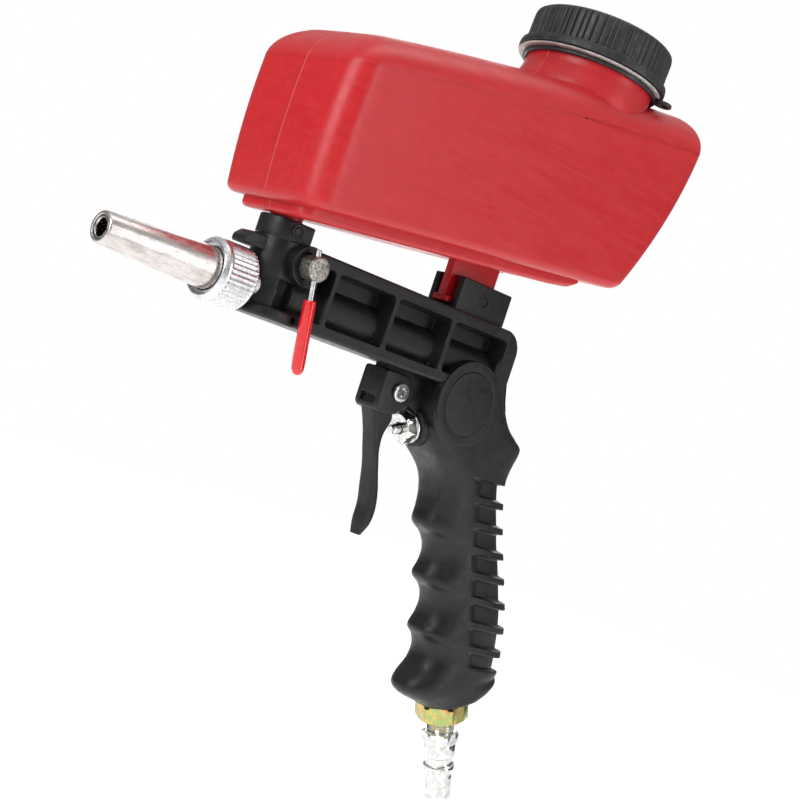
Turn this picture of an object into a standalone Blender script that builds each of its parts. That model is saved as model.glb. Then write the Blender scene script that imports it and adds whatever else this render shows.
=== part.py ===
"""Gravity-feed abrasive blasting gun: moulded pistol body, red hopper with a screw cap, turning media valve,
trigger-worked air valve, steel nozzle held by a knurled nut, and a quick plug under the grip.

Directions: +X runs back along the barrel, +Z is up, the trigger hangs below, and the origin is the middle of
the grip, where a hand holds the gun. Sizes below are in millimetres and place() turns them into metres.
Lengths along the barrel are counted from BARREL_ZERO, beside the lever, and heights from the nozzle's axis.
"""

import math

import bmesh
import bpy
from mathutils import Matrix, Vector

MM = 0.001

# Clearances between separate pieces
GAP = 0.3
SLIDE_GAP = 0.35
OFF_PLANE = 0.05

# Barrel: an I-beam with side pockets and a round air tube along its middle
BARREL_HALF_WIDTH = 13.0
BARREL_TOP = 19.4
BARREL_BOTTOM = -10.3
TOP_RAIL = 4.8
BOTTOM_RAIL = 4.5
BARREL_LENGTH = 122.3
REAR_WALL = 7.3
REAR_CORNER = 8.0
RIB_THICKNESS = 2.3
RIB_COUNT = 3
FIRST_RIB = 17.2
WEB_HALF = 3.5
FRONT_WEB = 0.7
TUBE_RADIUS = 9.0
AIR_BORE = 3.5

# Media column and the two sockets that carry the hopper
COLUMN_X = -4.5
COLUMN_RADIUS = 9.2
COLLAR_RADIUS = 9.5
COLLAR_HEIGHT = 7.3
COLLAR_TAIL = 7.6
LUG_REACH = 9.0
LUG_HALF = 4.0
LUG_TOP = 18.2
SOCKET_LENGTH = 29.6
SOCKET_FRONT = 84.4
SOCKET_HALF = 8.5
SOCKET_HEIGHT = 13.6
SOCKET_WALL = 3.3
SOCKET_FLOOR = 1.6

# Media valve across the column
LEVER_X = 2.0
LEVER_Z = 12.5
SPINDLE_RADIUS = 4.75
SPINDLE_OUT = 6.4
BOSS_RADIUS = 7.6
BOSS_PROUD = 0.6
MEDIA_HOLE = 2.6
ROD_RADIUS = 1.2
ROD_TOP = 7.0
ROD_SETBACK = 2.6
SLEEVE_RADIUS = 2.5
SLEEVE_START = 11.4
SLEEVE_LENGTH = 28.0
LEVER_LEAN = math.radians(10.4)

# Nozzle, its nut and the parts behind it
BUSH_THREAD = 9.2
BUSH_SHANK = 6.4
BUSH_LENGTH = 10.6
BUSH_BORE = 4.6
NUT_RADIUS = 11.9
NUT_LENGTH = 16.1
NUT_TEETH = 30
NUT_LIP = 2.6
NUT_BACK = -16.3
TUBE_ROOT = 8.0
MUZZLE_RADIUS = 5.9
NOZZLE_LENGTH = 52.0
NOZZLE_COLLAR = 9.0
LINER_RADIUS = 4.1
LINER_BORE = 3.2
SEAL_WIRE = 0.9
JET_LENGTH = 22.0
JET_RADIUS = 4.6
JET_TIP = 2.5
JET_BORE = 1.4
JET_TIP_X = 11.0

# Grip: raked back from the barrel, with finger grooves in front and fins behind
GRIP_TOP = 105.8
GRIP_RAKE = math.radians(21.4)
GRIP_LENGTH = 147.5
GRIP_START = 8.4
GRIP_HALF = 13.2
FINGER_FIRST = 64.0
FINGER_PITCH = 23.3
FINGER_DEPTH = 5.5
FIN_FIRST = -50.3
FIN_PITCH = 10.2
FIN_COUNT = 7
FIN_THICKNESS = 2.9
FIN_DEPTH = 2.6
SLOT_START = 1.5
SLOT_ROUND = 5.0
THUMB_X = 104.2
THUMB_Z = -14.5
THUMB_RADIUS = 17.4
THUMB_GROOVE = 13.2
THUMB_PROUD = 0.4
HOLD_BACK = 6.0
HOLD_DOWN = 95.0
GRIP_BORE = 4.5

# Trigger and its pivot
PIVOT_X = 71.6
PIVOT_Z = -19.1
TONGUE_HALF = 3.8
EAR_WALL = 2.6
EAR_RADIUS = 7.3
TRIGGER_HALF = 4.0
TRIGGER_REACH = 59.0
TRIGGER_FRONT = 9.6
PIN_RADIUS = 2.0
PIN_HEAD = 3.8
PIN_HEAD_HEIGHT = 1.6

# Air valve, square to the grip
VALVE_DOWN = 22.4
VALVE_BOSS = 8.6
VALVE_BORE = 5.6
BOSS_FRONT = -26.4
GLAND_FLATS = 12.0
GLAND_HEAD = 5.6
GLAND_THREAD = 5.0
STEM_RADIUS = 2.2
STEM_TIP = -36.6
SEAT_U = -14.0
SEAT_THICKNESS = 3.2
POPPET_THICKNESS = 3.0
SPRING_TURNS = 5
SPRING_WIRE = 0.55
VALVE_END = 8.0

# Air inlet
INLET_FLATS = 20.0
INLET_HEAD = 8.0
INLET_SHANK = 12.0
PLUG_FLATS = 14.0
PLUG_THREAD = 6.2
PLUG_NOSE = 5.9
PLUG_BORE = 3.8

# Hopper
HOPPER_FRONT = -18.0
HOPPER_LENGTH = 174.0
HOPPER_FRONT_BELLY = 2.0
HOPPER_REAR_LEAN = 23.5
HOPPER_WIDTH_TOP = 62.0
HOPPER_WIDTH_BASE = 58.0
HOPPER_BASE_Z = 33.1
HOPPER_BASE_SLOPE = 0.115
HOPPER_TOP_Z = 101.0
HOPPER_TOP_SLOPE = 0.232
HOPPER_TOP_FALL = 0.0003
HOPPER_CORNER = 10.0
HOPPER_WALL = 2.2
KEEL_DROP = 4.4
KEEL_INSET = 9.0
SPOUT_RADIUS = 6.2
SPOUT_BORE = 4.4
TAB_HALF = 2.0
TAB_LENGTH = 26.8
TAB_FOOT = 4.3
NECK_X = 124.4
NECK_RADIUS = 27.5
NECK_RISE = 23.0
NECK_LEAN = math.radians(4.3)

# Cap on the neck
CAP_RADIUS = 30.2
CAP_FLANGE = 32.3
CAP_HEIGHT = 17.6
CAP_FLANGE_HEIGHT = 3.6
CAP_WALL = 2.0
CAP_RIBS = 36
CAP_ABOVE_MOUTH = 3.6
LIP_THICKNESS = 0.8
STRAP_THICKNESS = 1.5
STRAP_WIDTH = 1.7


# Frames and finishes -------------------------------------------------------------------------------------


def clear_scene():
    for obj in list(bpy.data.objects):
        bpy.data.objects.remove(obj, do_unlink=True)


def frame(name, parent, location, rotation=(0, 0, 0)):
    empty = bpy.data.objects.new(name, None)
    bpy.context.scene.collection.objects.link(empty)
    empty.parent = parent
    empty.location = Vector(location) * MM
    empty.rotation_euler = rotation
    return empty


def finish(name, red, green, blue, roughness, metallic=0.0):
    material = bpy.data.materials.get(name)
    if material:
        return material
    material = bpy.data.materials.new(name)
    material.use_nodes = True
    shader = material.node_tree.nodes["Principled BSDF"]
    shader.inputs["Base Color"].default_value = (red, green, blue, 1)
    shader.inputs["Roughness"].default_value = roughness
    shader.inputs["Metallic"].default_value = metallic
    return material


def black_nylon():
    return finish("black_nylon", 0.018, 0.018, 0.019, 0.55)


def red_polyethylene():
    return finish("red_polyethylene", 0.52, 0.016, 0.02, 0.42)


def bright_steel():
    return finish("bright_steel", 0.62, 0.6, 0.59, 0.3, 1)


def chrome_plate():
    return finish("chrome_plate", 0.78, 0.78, 0.78, 0.12, 1)


def dark_steel():
    return finish("dark_steel", 0.05, 0.05, 0.055, 0.45, 1)


def knurled_aluminium():
    return finish("knurled_aluminium", 0.7, 0.69, 0.7, 0.38, 1)


def yellow_zinc():
    return finish("yellow_zinc", 0.6, 0.5, 0.24, 0.32, 1)


def brass():
    return finish("brass", 0.6, 0.42, 0.14, 0.3, 1)


def red_vinyl():
    return finish("red_vinyl", 0.6, 0.012, 0.012, 0.25)


def seal_rubber():
    return finish("seal_rubber", 0.02, 0.02, 0.02, 0.7)


def cap_plastic():
    return finish("cap_plastic", 0.02, 0.02, 0.021, 0.5)


def milky_seal():
    return finish("milky_seal", 0.6, 0.6, 0.58, 0.5)


def place(name, shape, material, parent, location=(0, 0, 0)):
    """Makes an object of a bmesh in millimetres. The location is in millimetres too."""
    bmesh.ops.recalc_face_normals(shape, faces=shape.faces)
    bmesh.ops.scale(shape, vec=(MM, MM, MM), verts=shape.verts)
    mesh = bpy.data.meshes.new(name)
    shape.to_mesh(mesh)
    shape.free()
    mesh.materials.append(material)
    mesh.shade_smooth()
    mesh.set_sharp_from_angle(angle=math.radians(35))
    obj = bpy.data.objects.new(name, mesh)
    bpy.context.scene.collection.objects.link(obj)
    obj.parent = parent
    obj.location = Vector(location) * MM
    return obj


def tool(name, shape, parent, location=(0, 0, 0)):
    """A helper that a Boolean adds or takes away; it isn't a piece of the gun."""
    obj = place(name, shape, black_nylon(), parent, location)
    obj.hide_render = True
    obj.display_type = "WIRE"
    return obj


def combine(target, operation, *tools):
    for other in tools:
        modifier = target.modifiers.new(other.name, "BOOLEAN")
        modifier.operation = operation
        modifier.object = other
        modifier.solver = "EXACT"


def join(target, *tools):
    combine(target, "UNION", *tools)


def cut(target, *tools):
    combine(target, "DIFFERENCE", *tools)


# Shapes --------------------------------------------------------------------------------------------------


def skin(shape, first, second):
    """Faces between two loops of the same number of points."""
    count = len(first)
    for i in range(count):
        j = (i + 1) % count
        shape.faces.new((first[i], first[j], second[j], second[i]))


def loft(loops, closed=False):
    """A skin over loops of points; its ends are capped, or joined to each other when it is closed."""
    shape = bmesh.new()
    made = [[shape.verts.new(point) for point in loop] for loop in loops]
    for first, second in zip(made, made[1:]):
        skin(shape, first, second)
    if closed:
        skin(shape, made[-1], made[0])
    else:
        shape.faces.new(made[0])
        shape.faces.new(made[-1])
    return shape


def turned(profile, steps=32, axis="Z"):
    """A solid turned about an axis from (position along it, radius) points. A profile that starts on the axis
    ends on it too; any other is a ring, so its last point joins its first. OFF_PLANE keeps the points off the
    gun's middle plane, where other shapes have theirs."""
    shape = bmesh.new()
    loops = []
    for along, radius in profile:
        count = steps if radius > 0 else 1
        turns = [OFF_PLANE + 2 * math.pi * k / steps for k in range(count)]
        loops.append([shape.verts.new((radius * math.cos(t), radius * math.sin(t), along)) for t in turns])
    if profile[0][1] > 0:
        skin(shape, loops[-1], loops[0])
    for first, second in zip(loops, loops[1:]):
        if len(first) == len(second):
            skin(shape, first, second)
        elif first[0].co.z == second[0].co.z:
            tip, rim = sorted((first, second), key=len)
            shape.verts.remove(tip[0])
            shape.faces.new(rim)
        else:
            tip, rim = sorted((first, second), key=len)
            for i in range(steps):
                shape.faces.new((tip[0], rim[i], rim[(i + 1) % steps]))
    return turn_to(shape, axis)


def turn_to(shape, axis):
    """Turns a shape made along Z so that it lies along X or Y instead."""
    turns = {"X": Matrix.Rotation(math.pi / 2, 3, "Y"), "Y": Matrix.Rotation(-math.pi / 2, 3, "X")}
    if axis in turns:
        bmesh.ops.rotate(shape, cent=(0, 0, 0), matrix=turns[axis], verts=shape.verts)
    return shape


def rod(radius, low, high, axis="Z", steps=32):
    return turned([(low, 0), (low, radius), (high, radius), (high, 0)], steps, axis)


def tube(outer, inner, low, high, axis="Z", steps=32):
    return turned([(low, inner), (low, outer), (high, outer), (high, inner)], steps, axis)


def ring_seal(radius, wire, along, axis="Z", steps=20):
    """A torus-shaped seal around an axis."""
    turns = [2 * math.pi * k / 6 for k in range(6)]
    profile = [(along + wire * math.sin(t), radius + wire * math.cos(t)) for t in turns]
    return turned(profile, steps, axis)


def hexagon(flats, low, high, chamfer, bore, axis="Z", spin=0.0):
    """A hexagonal nut with chamfered corners and a round hole, as loops of 24 points."""
    corner = flats / math.sqrt(3)

    def loop(radius_limit, along, round_radius=None):
        points = []
        for k in range(24):
            t = 2 * math.pi * k / 24
            to_flat = (t + math.pi / 6) % (math.pi / 3) - math.pi / 6
            flat_radius = flats / 2 / math.cos(to_flat)
            radius = round_radius or min(flat_radius, radius_limit)
            points.append((radius * math.cos(t + spin), radius * math.sin(t + spin), along))
        return points

    face = flats / 2 * 0.97
    loops = [
        loop(face, low, bore),
        loop(face, low),
        loop(corner, low + chamfer),
        loop(corner, high - chamfer),
        loop(face, high),
        loop(face, high, bore),
    ]
    return turn_to(loft(loops, closed=True), axis)


def slab(outline, low, high):
    """An outline of (x, z) points given its thickness across, from low to high along Y."""
    return loft([[(x, low, z) for x, z in outline], [(x, high, z) for x, z in outline]])


def plate(outline, low, high):
    """An outline of (x, y) points given its height, from low to high along Z."""
    return loft([[(x, y, low) for x, y in outline], [(x, y, high) for x, y in outline]])


def block(low, high):
    (x0, y0, z0), (x1, y1, z1) = low, high
    return plate([(x0, y0), (x1, y0), (x1, y1), (x0, y1)], z0, z1)


def arc(cx, cz, radius, start, end, steps=6):
    """Points of an arc from one angle to another, in degrees."""
    angles = [math.radians(start + (end - start) * k / steps) for k in range(steps + 1)]
    return [(cx + radius * math.cos(t), cz + radius * math.sin(t)) for t in angles]


def smooth(keys, at):
    """The value at a place on the smooth line through (place, value) keys (Catmull-Rom)."""
    places = [key[0] for key in keys]
    if at <= places[0]:
        return keys[0][1]
    if at >= places[-1]:
        return keys[-1][1]
    i = next(k for k in range(len(keys) - 1) if places[k + 1] >= at)
    span = places[i + 1] - places[i]
    t = (at - places[i]) / span

    def slope(k):
        a, b = keys[max(k - 1, 0)], keys[min(k + 1, len(keys) - 1)]
        return (b[1] - a[1]) / (b[0] - a[0]) * span

    p, q, m, n = keys[i][1], keys[i + 1][1], slope(i), slope(i + 1)
    return (
        (2 * t**3 - 3 * t**2 + 1) * p + (t**3 - 2 * t**2 + t) * m + (3 * t**2 - 2 * t**3) * q + (t**3 - t**2) * n
    )


# Gun body ------------------------------------------------------------------------------------------------


def rib_pitch():
    """The ribs share the beam's length, up to the wall in front of its rear end."""
    return (BARREL_LENGTH - REAR_WALL - FIRST_RIB + RIB_THICKNESS / 2) / (RIB_COUNT)


def pocket_spans():
    """(front, rear) of each side pocket behind the first rib."""
    pitch = rib_pitch()
    ribs = [FIRST_RIB + pitch * k for k in range(RIB_COUNT)]
    fronts = [rib + RIB_THICKNESS / 2 for rib in ribs]
    rears = [rib + pitch - RIB_THICKNESS / 2 for rib in ribs]
    rears[-1] = BARREL_LENGTH - REAR_WALL
    return list(zip(fronts, rears))


def barrel_beam(gun):
    """The beam's side outline: straight, round at the top of its rear end, and swept back into the grip."""
    corner = arc(BARREL_LENGTH - REAR_CORNER, BARREL_TOP - REAR_CORNER, REAR_CORNER, 90, 0)
    sweep = [(0.0, 4.0), (0.5, 0.0), (2.4, -6.5), (4.4, BARREL_BOTTOM)]
    rear = [(BARREL_LENGTH + back, z) for back, z in sweep]
    outline = [(LEVER_X, BARREL_BOTTOM), (LEVER_X, BARREL_TOP), *corner, *rear]
    return place("gun_body", slab(outline, -BARREL_HALF_WIDTH, BARREL_HALF_WIDTH), black_nylon(), gun)


def pocket_cutters(gun):
    """Pockets in both sides, leaving the web, the ribs and the rails."""
    low = BARREL_BOTTOM + BOTTOM_RAIL
    high = BARREL_TOP - TOP_RAIL
    past = BARREL_HALF_WIDTH + 1
    cutters = []
    for side, name in ((-1, "near"), (1, "far")):
        for k, (front, rear) in enumerate(pocket_spans()):
            y = sorted((side * WEB_HALF, side * past))
            shape = block((front, y[0], low), (rear, y[1], high))
            cutters.append(tool(f"pocket_{name}_{k + 1}", shape, gun))
        y = sorted((side * (WEB_HALF + FRONT_WEB), side * past))
        rear = FIRST_RIB - RIB_THICKNESS / 2
        shape = block((COLUMN_X - 1, y[0], low), (rear, y[1], LEVER_Z - BOSS_RADIUS + 1))
        cutters.append(tool(f"front_pocket_{name}", shape, gun))
        shape = block((LEVER_X + BOSS_RADIUS - 0.6, y[0], low + 1), (rear, y[1], high))
        cutters.append(tool(f"boss_pocket_{name}", shape, gun))
    return cutters


def column_parts(gun):
    """The round column for the media, the collar on it, the lug over the nut and the foot of the column."""
    bend = arc(COLUMN_X, 0, COLUMN_RADIUS, 90, 270, 16)
    column = [(LEVER_X + 3, -COLUMN_RADIUS), (LEVER_X + 3, COLUMN_RADIUS), *bend]
    bend = arc(COLUMN_X, 0, COLLAR_RADIUS, 90, 270, 16)
    tail = COLUMN_X + COLLAR_TAIL
    collar = [(tail, -COLLAR_RADIUS), (tail, COLLAR_RADIUS), *bend]
    foot_x = LEVER_X - 3.5
    foot = [
        (LEVER_X + 1, -BARREL_HALF_WIDTH),
        (LEVER_X + 1, BARREL_HALF_WIDTH),
        *arc(foot_x, 0, BARREL_HALF_WIDTH, 90, 270, 16),
    ]
    front = COLUMN_X - COLUMN_RADIUS
    nut_clear = NUT_RADIUS + 1.0
    lug = [
        (front + 4, nut_clear),
        (front + 4, LUG_TOP),
        (front - LUG_REACH + 3, LUG_TOP),
        (front - LUG_REACH, LUG_TOP - 2.5),
        (front - LUG_REACH, nut_clear),
    ]
    return [
        tool("column", plate(column, BARREL_BOTTOM + 0.4, BARREL_TOP + 0.2), gun),
        tool("collar", plate(collar, BARREL_TOP, BARREL_TOP + COLLAR_HEIGHT), gun),
        tool("column_foot", plate(foot, BARREL_BOTTOM, BARREL_BOTTOM + BOTTOM_RAIL), gun),
        tool("nut_lug", slab(lug, -LUG_HALF, LUG_HALF), gun),
    ]


def body_additions(gun):
    """The air tube between the pockets, the valve's bosses, the rear socket and the trigger's tongue."""
    boss = BARREL_HALF_WIDTH + BOSS_PROUD
    front = COLUMN_X - COLUMN_RADIUS / 2
    socket_top = BARREL_TOP + SOCKET_HEIGHT
    tongue = [
        *arc(PIVOT_X, PIVOT_Z, 6.2, 225, 135),
        (PIVOT_X - 4.4, BARREL_BOTTOM + 1),
        (BARREL_LENGTH - 10, BARREL_BOTTOM + 1),
        (BARREL_LENGTH - 10, PIVOT_Z - 12),
        (PIVOT_X + 21, PIVOT_Z - 8),
        (PIVOT_X + 10, PIVOT_Z - 3.5),
    ]
    socket = block(
        (SOCKET_FRONT, -SOCKET_HALF, BARREL_TOP - 1), (SOCKET_FRONT + SOCKET_LENGTH, SOCKET_HALF, socket_top)
    )
    return [
        tool("air_tube", rod(TUBE_RADIUS, front, BARREL_LENGTH - 1, "X"), gun),
        tool("valve_bosses", rod(BOSS_RADIUS, -boss, boss, "Y"), gun, (LEVER_X, 0, LEVER_Z)),
        tool("rear_socket", socket, gun),
        tool("trigger_tongue", slab(tongue, -TONGUE_HALF, TONGUE_HALF), gun),
    ]


def grip_front(down):
    """How far the front of the grip stands from its axis. Each finger groove is an arch between crests."""
    last = FINGER_FIRST + 2 * FINGER_PITCH
    if FINGER_FIRST <= down <= last:
        share = (down - FINGER_FIRST) / FINGER_PITCH
        return -18.3 + FINGER_DEPTH * abs(math.sin(math.pi * share))
    butt = GRIP_LENGTH - 13.5
    keys = [
        (-4, -17),
        (14, -21.5),
        (VALVE_DOWN + 4, -22.5),
        (FINGER_FIRST - 22, -14.8),
        (FINGER_FIRST - 11, -14.3),
        (FINGER_FIRST, -18.3),
        (last, -18.3),
        (last + 6, -14.2),
        (last + 12, -15.2),
        (butt, -25.6),
        (GRIP_LENGTH - 7, -21),
        (GRIP_LENGTH - 1.5, -12.5),
    ]
    return smooth(keys, down)


def grip_rear(down):
    """How far the back of the grip, over the fins, stands from its axis."""
    keys = [
        (-4, 20),
        (6, 17.5),
        (14, 17),
        (24, 19),
        (33, 24.5),
        (39, 28.5),
        (45, 25.8),
        (52, 23.2),
        (64, 23.4),
        (86, 27.1),
        (108, 29.8),
        (GRIP_LENGTH - 17, 28.6),
        (GRIP_LENGTH - 8, 26.3),
        (GRIP_LENGTH - 4, 24.5),
        (GRIP_LENGTH - 1.5, 18),
    ]
    return smooth(keys, down)


def across(outline, down, tilt):
    """Where a sloping plane that crosses the grip's axis at this place meets an outline of the grip."""
    x = outline(down)
    for _ in range(8):
        x = outline(down + x * math.tan(tilt))
    return x


def grip_loop(down, tilt, inset=0.0, points=24):
    """A squarish oval where a plane crosses the grip. An inset draws in its sides and back, but not its front."""
    front = across(grip_front, down, tilt)
    rear = across(grip_rear, down, tilt)
    middle = (front + rear) / 2
    half = (rear - front) / 2
    squareness = smooth([(-4, 7), (30, 6), (55, 3.0), (GRIP_LENGTH - 20, 2.6), (GRIP_LENGTH, 2.4)], down)
    loop = []
    for k in range(points):
        t = 2 * math.pi * (k + 0.5) / points
        c, s = math.cos(t), math.sin(t)
        reach = math.copysign(abs(c) ** (2 / squareness), c)
        share = min(max((middle + half * reach - SLOT_START) / SLOT_ROUND, 0), 1)
        drawn = inset * share * share * (3 - 2 * share)
        x = middle + (half - drawn) * reach
        place_down = down + x * math.tan(tilt)
        y = (grip_half_width(place_down) - drawn) * math.copysign(abs(s) ** (2 / squareness), s)
        loop.append((x, y, -place_down))
    return loop


def grip_half_width(down):
    return smooth([(-4, GRIP_HALF), (60, GRIP_HALF), (100, GRIP_HALF + 1), (GRIP_LENGTH, GRIP_HALF - 1)], down)


def grip_shape():
    """Level sections, so that the fins stay level, which turn square to the grip at its butt."""
    level = GRIP_RAKE
    loops = [grip_loop(GRIP_START + 6.0 * k, level) for k in range(6)]
    pitch = FIN_PITCH / math.cos(GRIP_RAKE)
    thickness = FIN_THICKNESS / math.cos(GRIP_RAKE)
    first = -FIN_FIRST / math.cos(GRIP_RAKE) - pitch + thickness / 2
    for k in range(FIN_COUNT + 1):
        top = first + pitch * k
        bottom = top + pitch - thickness
        loops += [grip_loop(top, level), grip_loop(top, level, FIN_DEPTH)]
        loops += [grip_loop(bottom, level, FIN_DEPTH), grip_loop(bottom, level)]
    butt = GRIP_LENGTH - 1.8
    for share in (0.35, 0.6, 0.8, 1.0):
        loops.append(grip_loop(bottom + (butt - bottom) * share, level * (1 - share)))
    loops.append([(x * 0.66, y * 0.85, -GRIP_LENGTH) for x, y, z in loops[-1]])
    shape = loft(loops)
    bmesh.ops.remove_doubles(shape, verts=shape.verts, dist=0.001)
    return shape


def thumb_disc(gun):
    """A low round disc on each side of the grip's top, with a fine round groove pressed into it."""
    proud = GRIP_HALF + THUMB_PROUD
    disc = tool("thumb_disc", rod(THUMB_RADIUS, -proud, proud, "Y", 40), gun, (THUMB_X, 0, THUMB_Z))
    for side, name in ((-1, "near"), (1, "far")):
        middle = side * proud
        ring = tube(THUMB_GROOVE + 0.3, THUMB_GROOVE - 0.3, middle - 0.5, middle + 0.5, "Y", 40)
        cut(disc, tool(f"thumb_groove_{name}", ring, gun, (THUMB_X, 0, THUMB_Z)))
    return disc


def grip_parts(gun, grip):
    boss = rod(VALVE_BOSS, BOSS_FRONT, -10, "X")
    return [
        tool("grip", grip_shape(), grip),
        tool("valve_boss", boss, grip, (0, 0, -VALVE_DOWN)),
        thumb_disc(gun),
    ]


def media_path():
    """Direction of the slanted feed, from the bottom of the spout to the mixing chamber, through the spindle."""
    return Vector((LEVER_X - COLUMN_X, 0, LEVER_Z - BARREL_TOP - 0.8)).normalized()


def aimed(shape, direction):
    turn = Vector((0, 0, 1)).rotation_difference(direction).to_matrix()
    bmesh.ops.rotate(shape, cent=(0, 0, 0), matrix=turn, verts=shape.verts)
    return shape


def body_bores(gun, grip):
    """All the holes in the body: air from the plug to the jet, media from the spout to the mixing chamber."""
    socket_top = BARREL_TOP + SOCKET_HEIGHT
    spout_floor = BARREL_TOP + 0.4
    front = COLUMN_X - COLUMN_RADIUS - 20
    bush_end = COLUMN_X - COLUMN_RADIUS + BUSH_LENGTH
    jet_end = JET_TIP_X + JET_LENGTH
    riser_u = BOSS_FRONT + GLAND_THREAD + 2.6
    riser_x = GRIP_TOP + riser_u * math.cos(GRIP_RAKE) + VALVE_DOWN * math.sin(GRIP_RAKE)
    riser_z = riser_u * math.sin(GRIP_RAKE) - VALVE_DOWN * math.cos(GRIP_RAKE)
    inner = SOCKET_HALF - SOCKET_WALL
    tab_rear = SOCKET_FRONT + SOCKET_LENGTH - 2.4
    feed = aimed(rod(MEDIA_HOLE, -11, 14.5, steps=16), media_path())
    return [
        tool("spout_bore", rod(SPOUT_RADIUS + GAP, spout_floor, 40), gun, (COLUMN_X, 0, 0)),
        tool("feed", feed, gun, (LEVER_X, 0, LEVER_Z)),
        tool("spindle_bore", rod(SPINDLE_RADIUS + 0.45, -20, 20, "Y"), gun, (LEVER_X, 0, LEVER_Z)),
        tool("bush_bore", rod(BUSH_SHANK + GAP, front, bush_end + GAP, "X"), gun),
        tool("mixing_bore", rod(JET_RADIUS + GAP, bush_end - 3, jet_end + 1.6, "X"), gun),
        tool("air_bore", rod(AIR_BORE, 20, riser_x + 1, "X"), gun),
        tool("riser", rod(2.3, riser_z, 1, steps=16), gun, (riser_x, 0, 0)),
        tool("valve_bore", rod(VALVE_BORE, -60, VALVE_END, "X"), grip, (0, 0, -VALVE_DOWN)),
        tool("grip_bore", rod(GRIP_BORE, -GRIP_LENGTH - 20, -VALVE_DOWN), grip),
        tool("inlet_bore", rod(8.3, -GRIP_LENGTH - 20, -GRIP_LENGTH + INLET_SHANK + 0.6), grip),
        tool("pivot_hole", rod(PIN_RADIUS + GAP, -9, 9, "Y"), gun, (PIVOT_X, 0, PIVOT_Z)),
        tool(
            "tab_slot",
            block((SOCKET_FRONT - 3, -inner, BARREL_TOP + SOCKET_FLOOR), (tab_rear, inner, socket_top + 3)),
            gun,
        ),
        tool("front_screw_hole", rod(2.35, -12, -5, "Y", 16), gun, (COLUMN_X, 0, BARREL_TOP + 3.8)),
        tool(
            "rear_screw_hole",
            rod(2.35, -12, -4, "Y", 16),
            gun,
            (SOCKET_FRONT + SOCKET_LENGTH / 2, 0, BARREL_TOP + 7.2),
        ),
    ]


def gun_body(gun, grip):
    body = barrel_beam(gun)
    cut(body, *pocket_cutters(gun))
    join(body, *column_parts(gun))
    cut(body, *front_recess(gun))
    join(body, *body_additions(gun))
    join(body, *grip_parts(gun, grip))
    cut(body, *body_bores(gun, grip))
    return body


def front_recess(gun):
    """The recess beside the foot of the column, on both sides."""
    cutters = []
    low = BARREL_BOTTOM + BOTTOM_RAIL
    for side, name in ((-1, "near"), (1, "far")):
        y = sorted((side * (COLUMN_RADIUS - 3.2), side * (BARREL_HALF_WIDTH + 1)))
        shape = block((COLUMN_X - 1, y[0], low), (LEVER_X + 4, y[1], LEVER_Z - BOSS_RADIUS + 1))
        cutters.append(tool(f"column_recess_{name}", shape, gun))
    return cutters


# Media valve ---------------------------------------------------------------------------------------------


def media_spindle(valve):
    """The cross-drilled spindle, with a groove for each seal and one for the clip at its far end."""
    out = BARREL_HALF_WIDTH + BOSS_PROUD
    groove = SPINDLE_RADIUS - 0.9
    near, far = -out - SPINDLE_OUT, out + 2.8
    profile = [(near, 0), (near, SPINDLE_RADIUS - 0.3), (near + 0.3, SPINDLE_RADIUS)]
    for middle in (-out + 3, out - 3):
        profile += [(middle - 0.8, SPINDLE_RADIUS), (middle - 0.8, groove), (middle + 0.8, groove)]
        profile += [(middle + 0.8, SPINDLE_RADIUS)]
    profile += [(out + 0.3, SPINDLE_RADIUS), (out + 0.3, 3.4), (out + 1.5, 3.4), (out + 1.5, 4.2), (far, 4.2), (far, 0)]
    spindle = place("media_spindle", turned(profile, 24, "Y"), bright_steel(), valve)
    hole = aimed(rod(MEDIA_HOLE, -9, 9, steps=16), media_path())
    rod_hole = rod(ROD_RADIUS + GAP, -20, 20, steps=12)
    lean = tool("rod_hole", aimed(rod_hole, lever_direction()), valve, (0, lever_rod_y(), 0))
    cut(spindle, tool("media_hole", hole, valve), lean)
    for middle, name in ((-out + 3, "near"), (out - 3, "far")):
        seal = ring_seal(SPINDLE_RADIUS - 0.1, 0.42, middle, "Y")
        place(f"spindle_seal_{name}", seal, seal_rubber(), valve)
    place("spindle_clip", tube(6.4, 3.6, out + 0.55, out + 1.25, "Y", 24), dark_steel(), valve)


def lever_direction():
    return Vector((math.sin(LEVER_LEAN), 0, -math.cos(LEVER_LEAN)))


def lever_rod_y():
    return -(BARREL_HALF_WIDTH + BOSS_PROUD + SPINDLE_OUT - ROD_SETBACK)


def media_lever(valve):
    """A wire through the spindle, with a dipped sleeve on its long end."""
    end = SLEEVE_START + SLEEVE_LENGTH
    wire = aimed(rod(ROD_RADIUS, -ROD_TOP, end - 6, steps=12), lever_direction())
    place("lever_rod", wire, bright_steel(), valve, (0, lever_rod_y(), 0))
    inner = ROD_RADIUS + GAP
    dome = [(end - SLEEVE_RADIUS * (1 - math.sin(t)), SLEEVE_RADIUS * math.cos(t)) for t in (0.0, 0.5, 1.0)]
    profile = [(SLEEVE_START, inner), (SLEEVE_START, SLEEVE_RADIUS - 0.2), (SLEEVE_START + 0.4, SLEEVE_RADIUS)]
    profile += [*dome, (end, 0)]
    sleeve = turned([(end - 5.6, 0), (end - 5.6, inner), *profile], 20)
    place("lever_sleeve", aimed(sleeve, lever_direction()), red_vinyl(), valve, (0, lever_rod_y(), 0))


# Nozzle --------------------------------------------------------------------------------------------------


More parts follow.
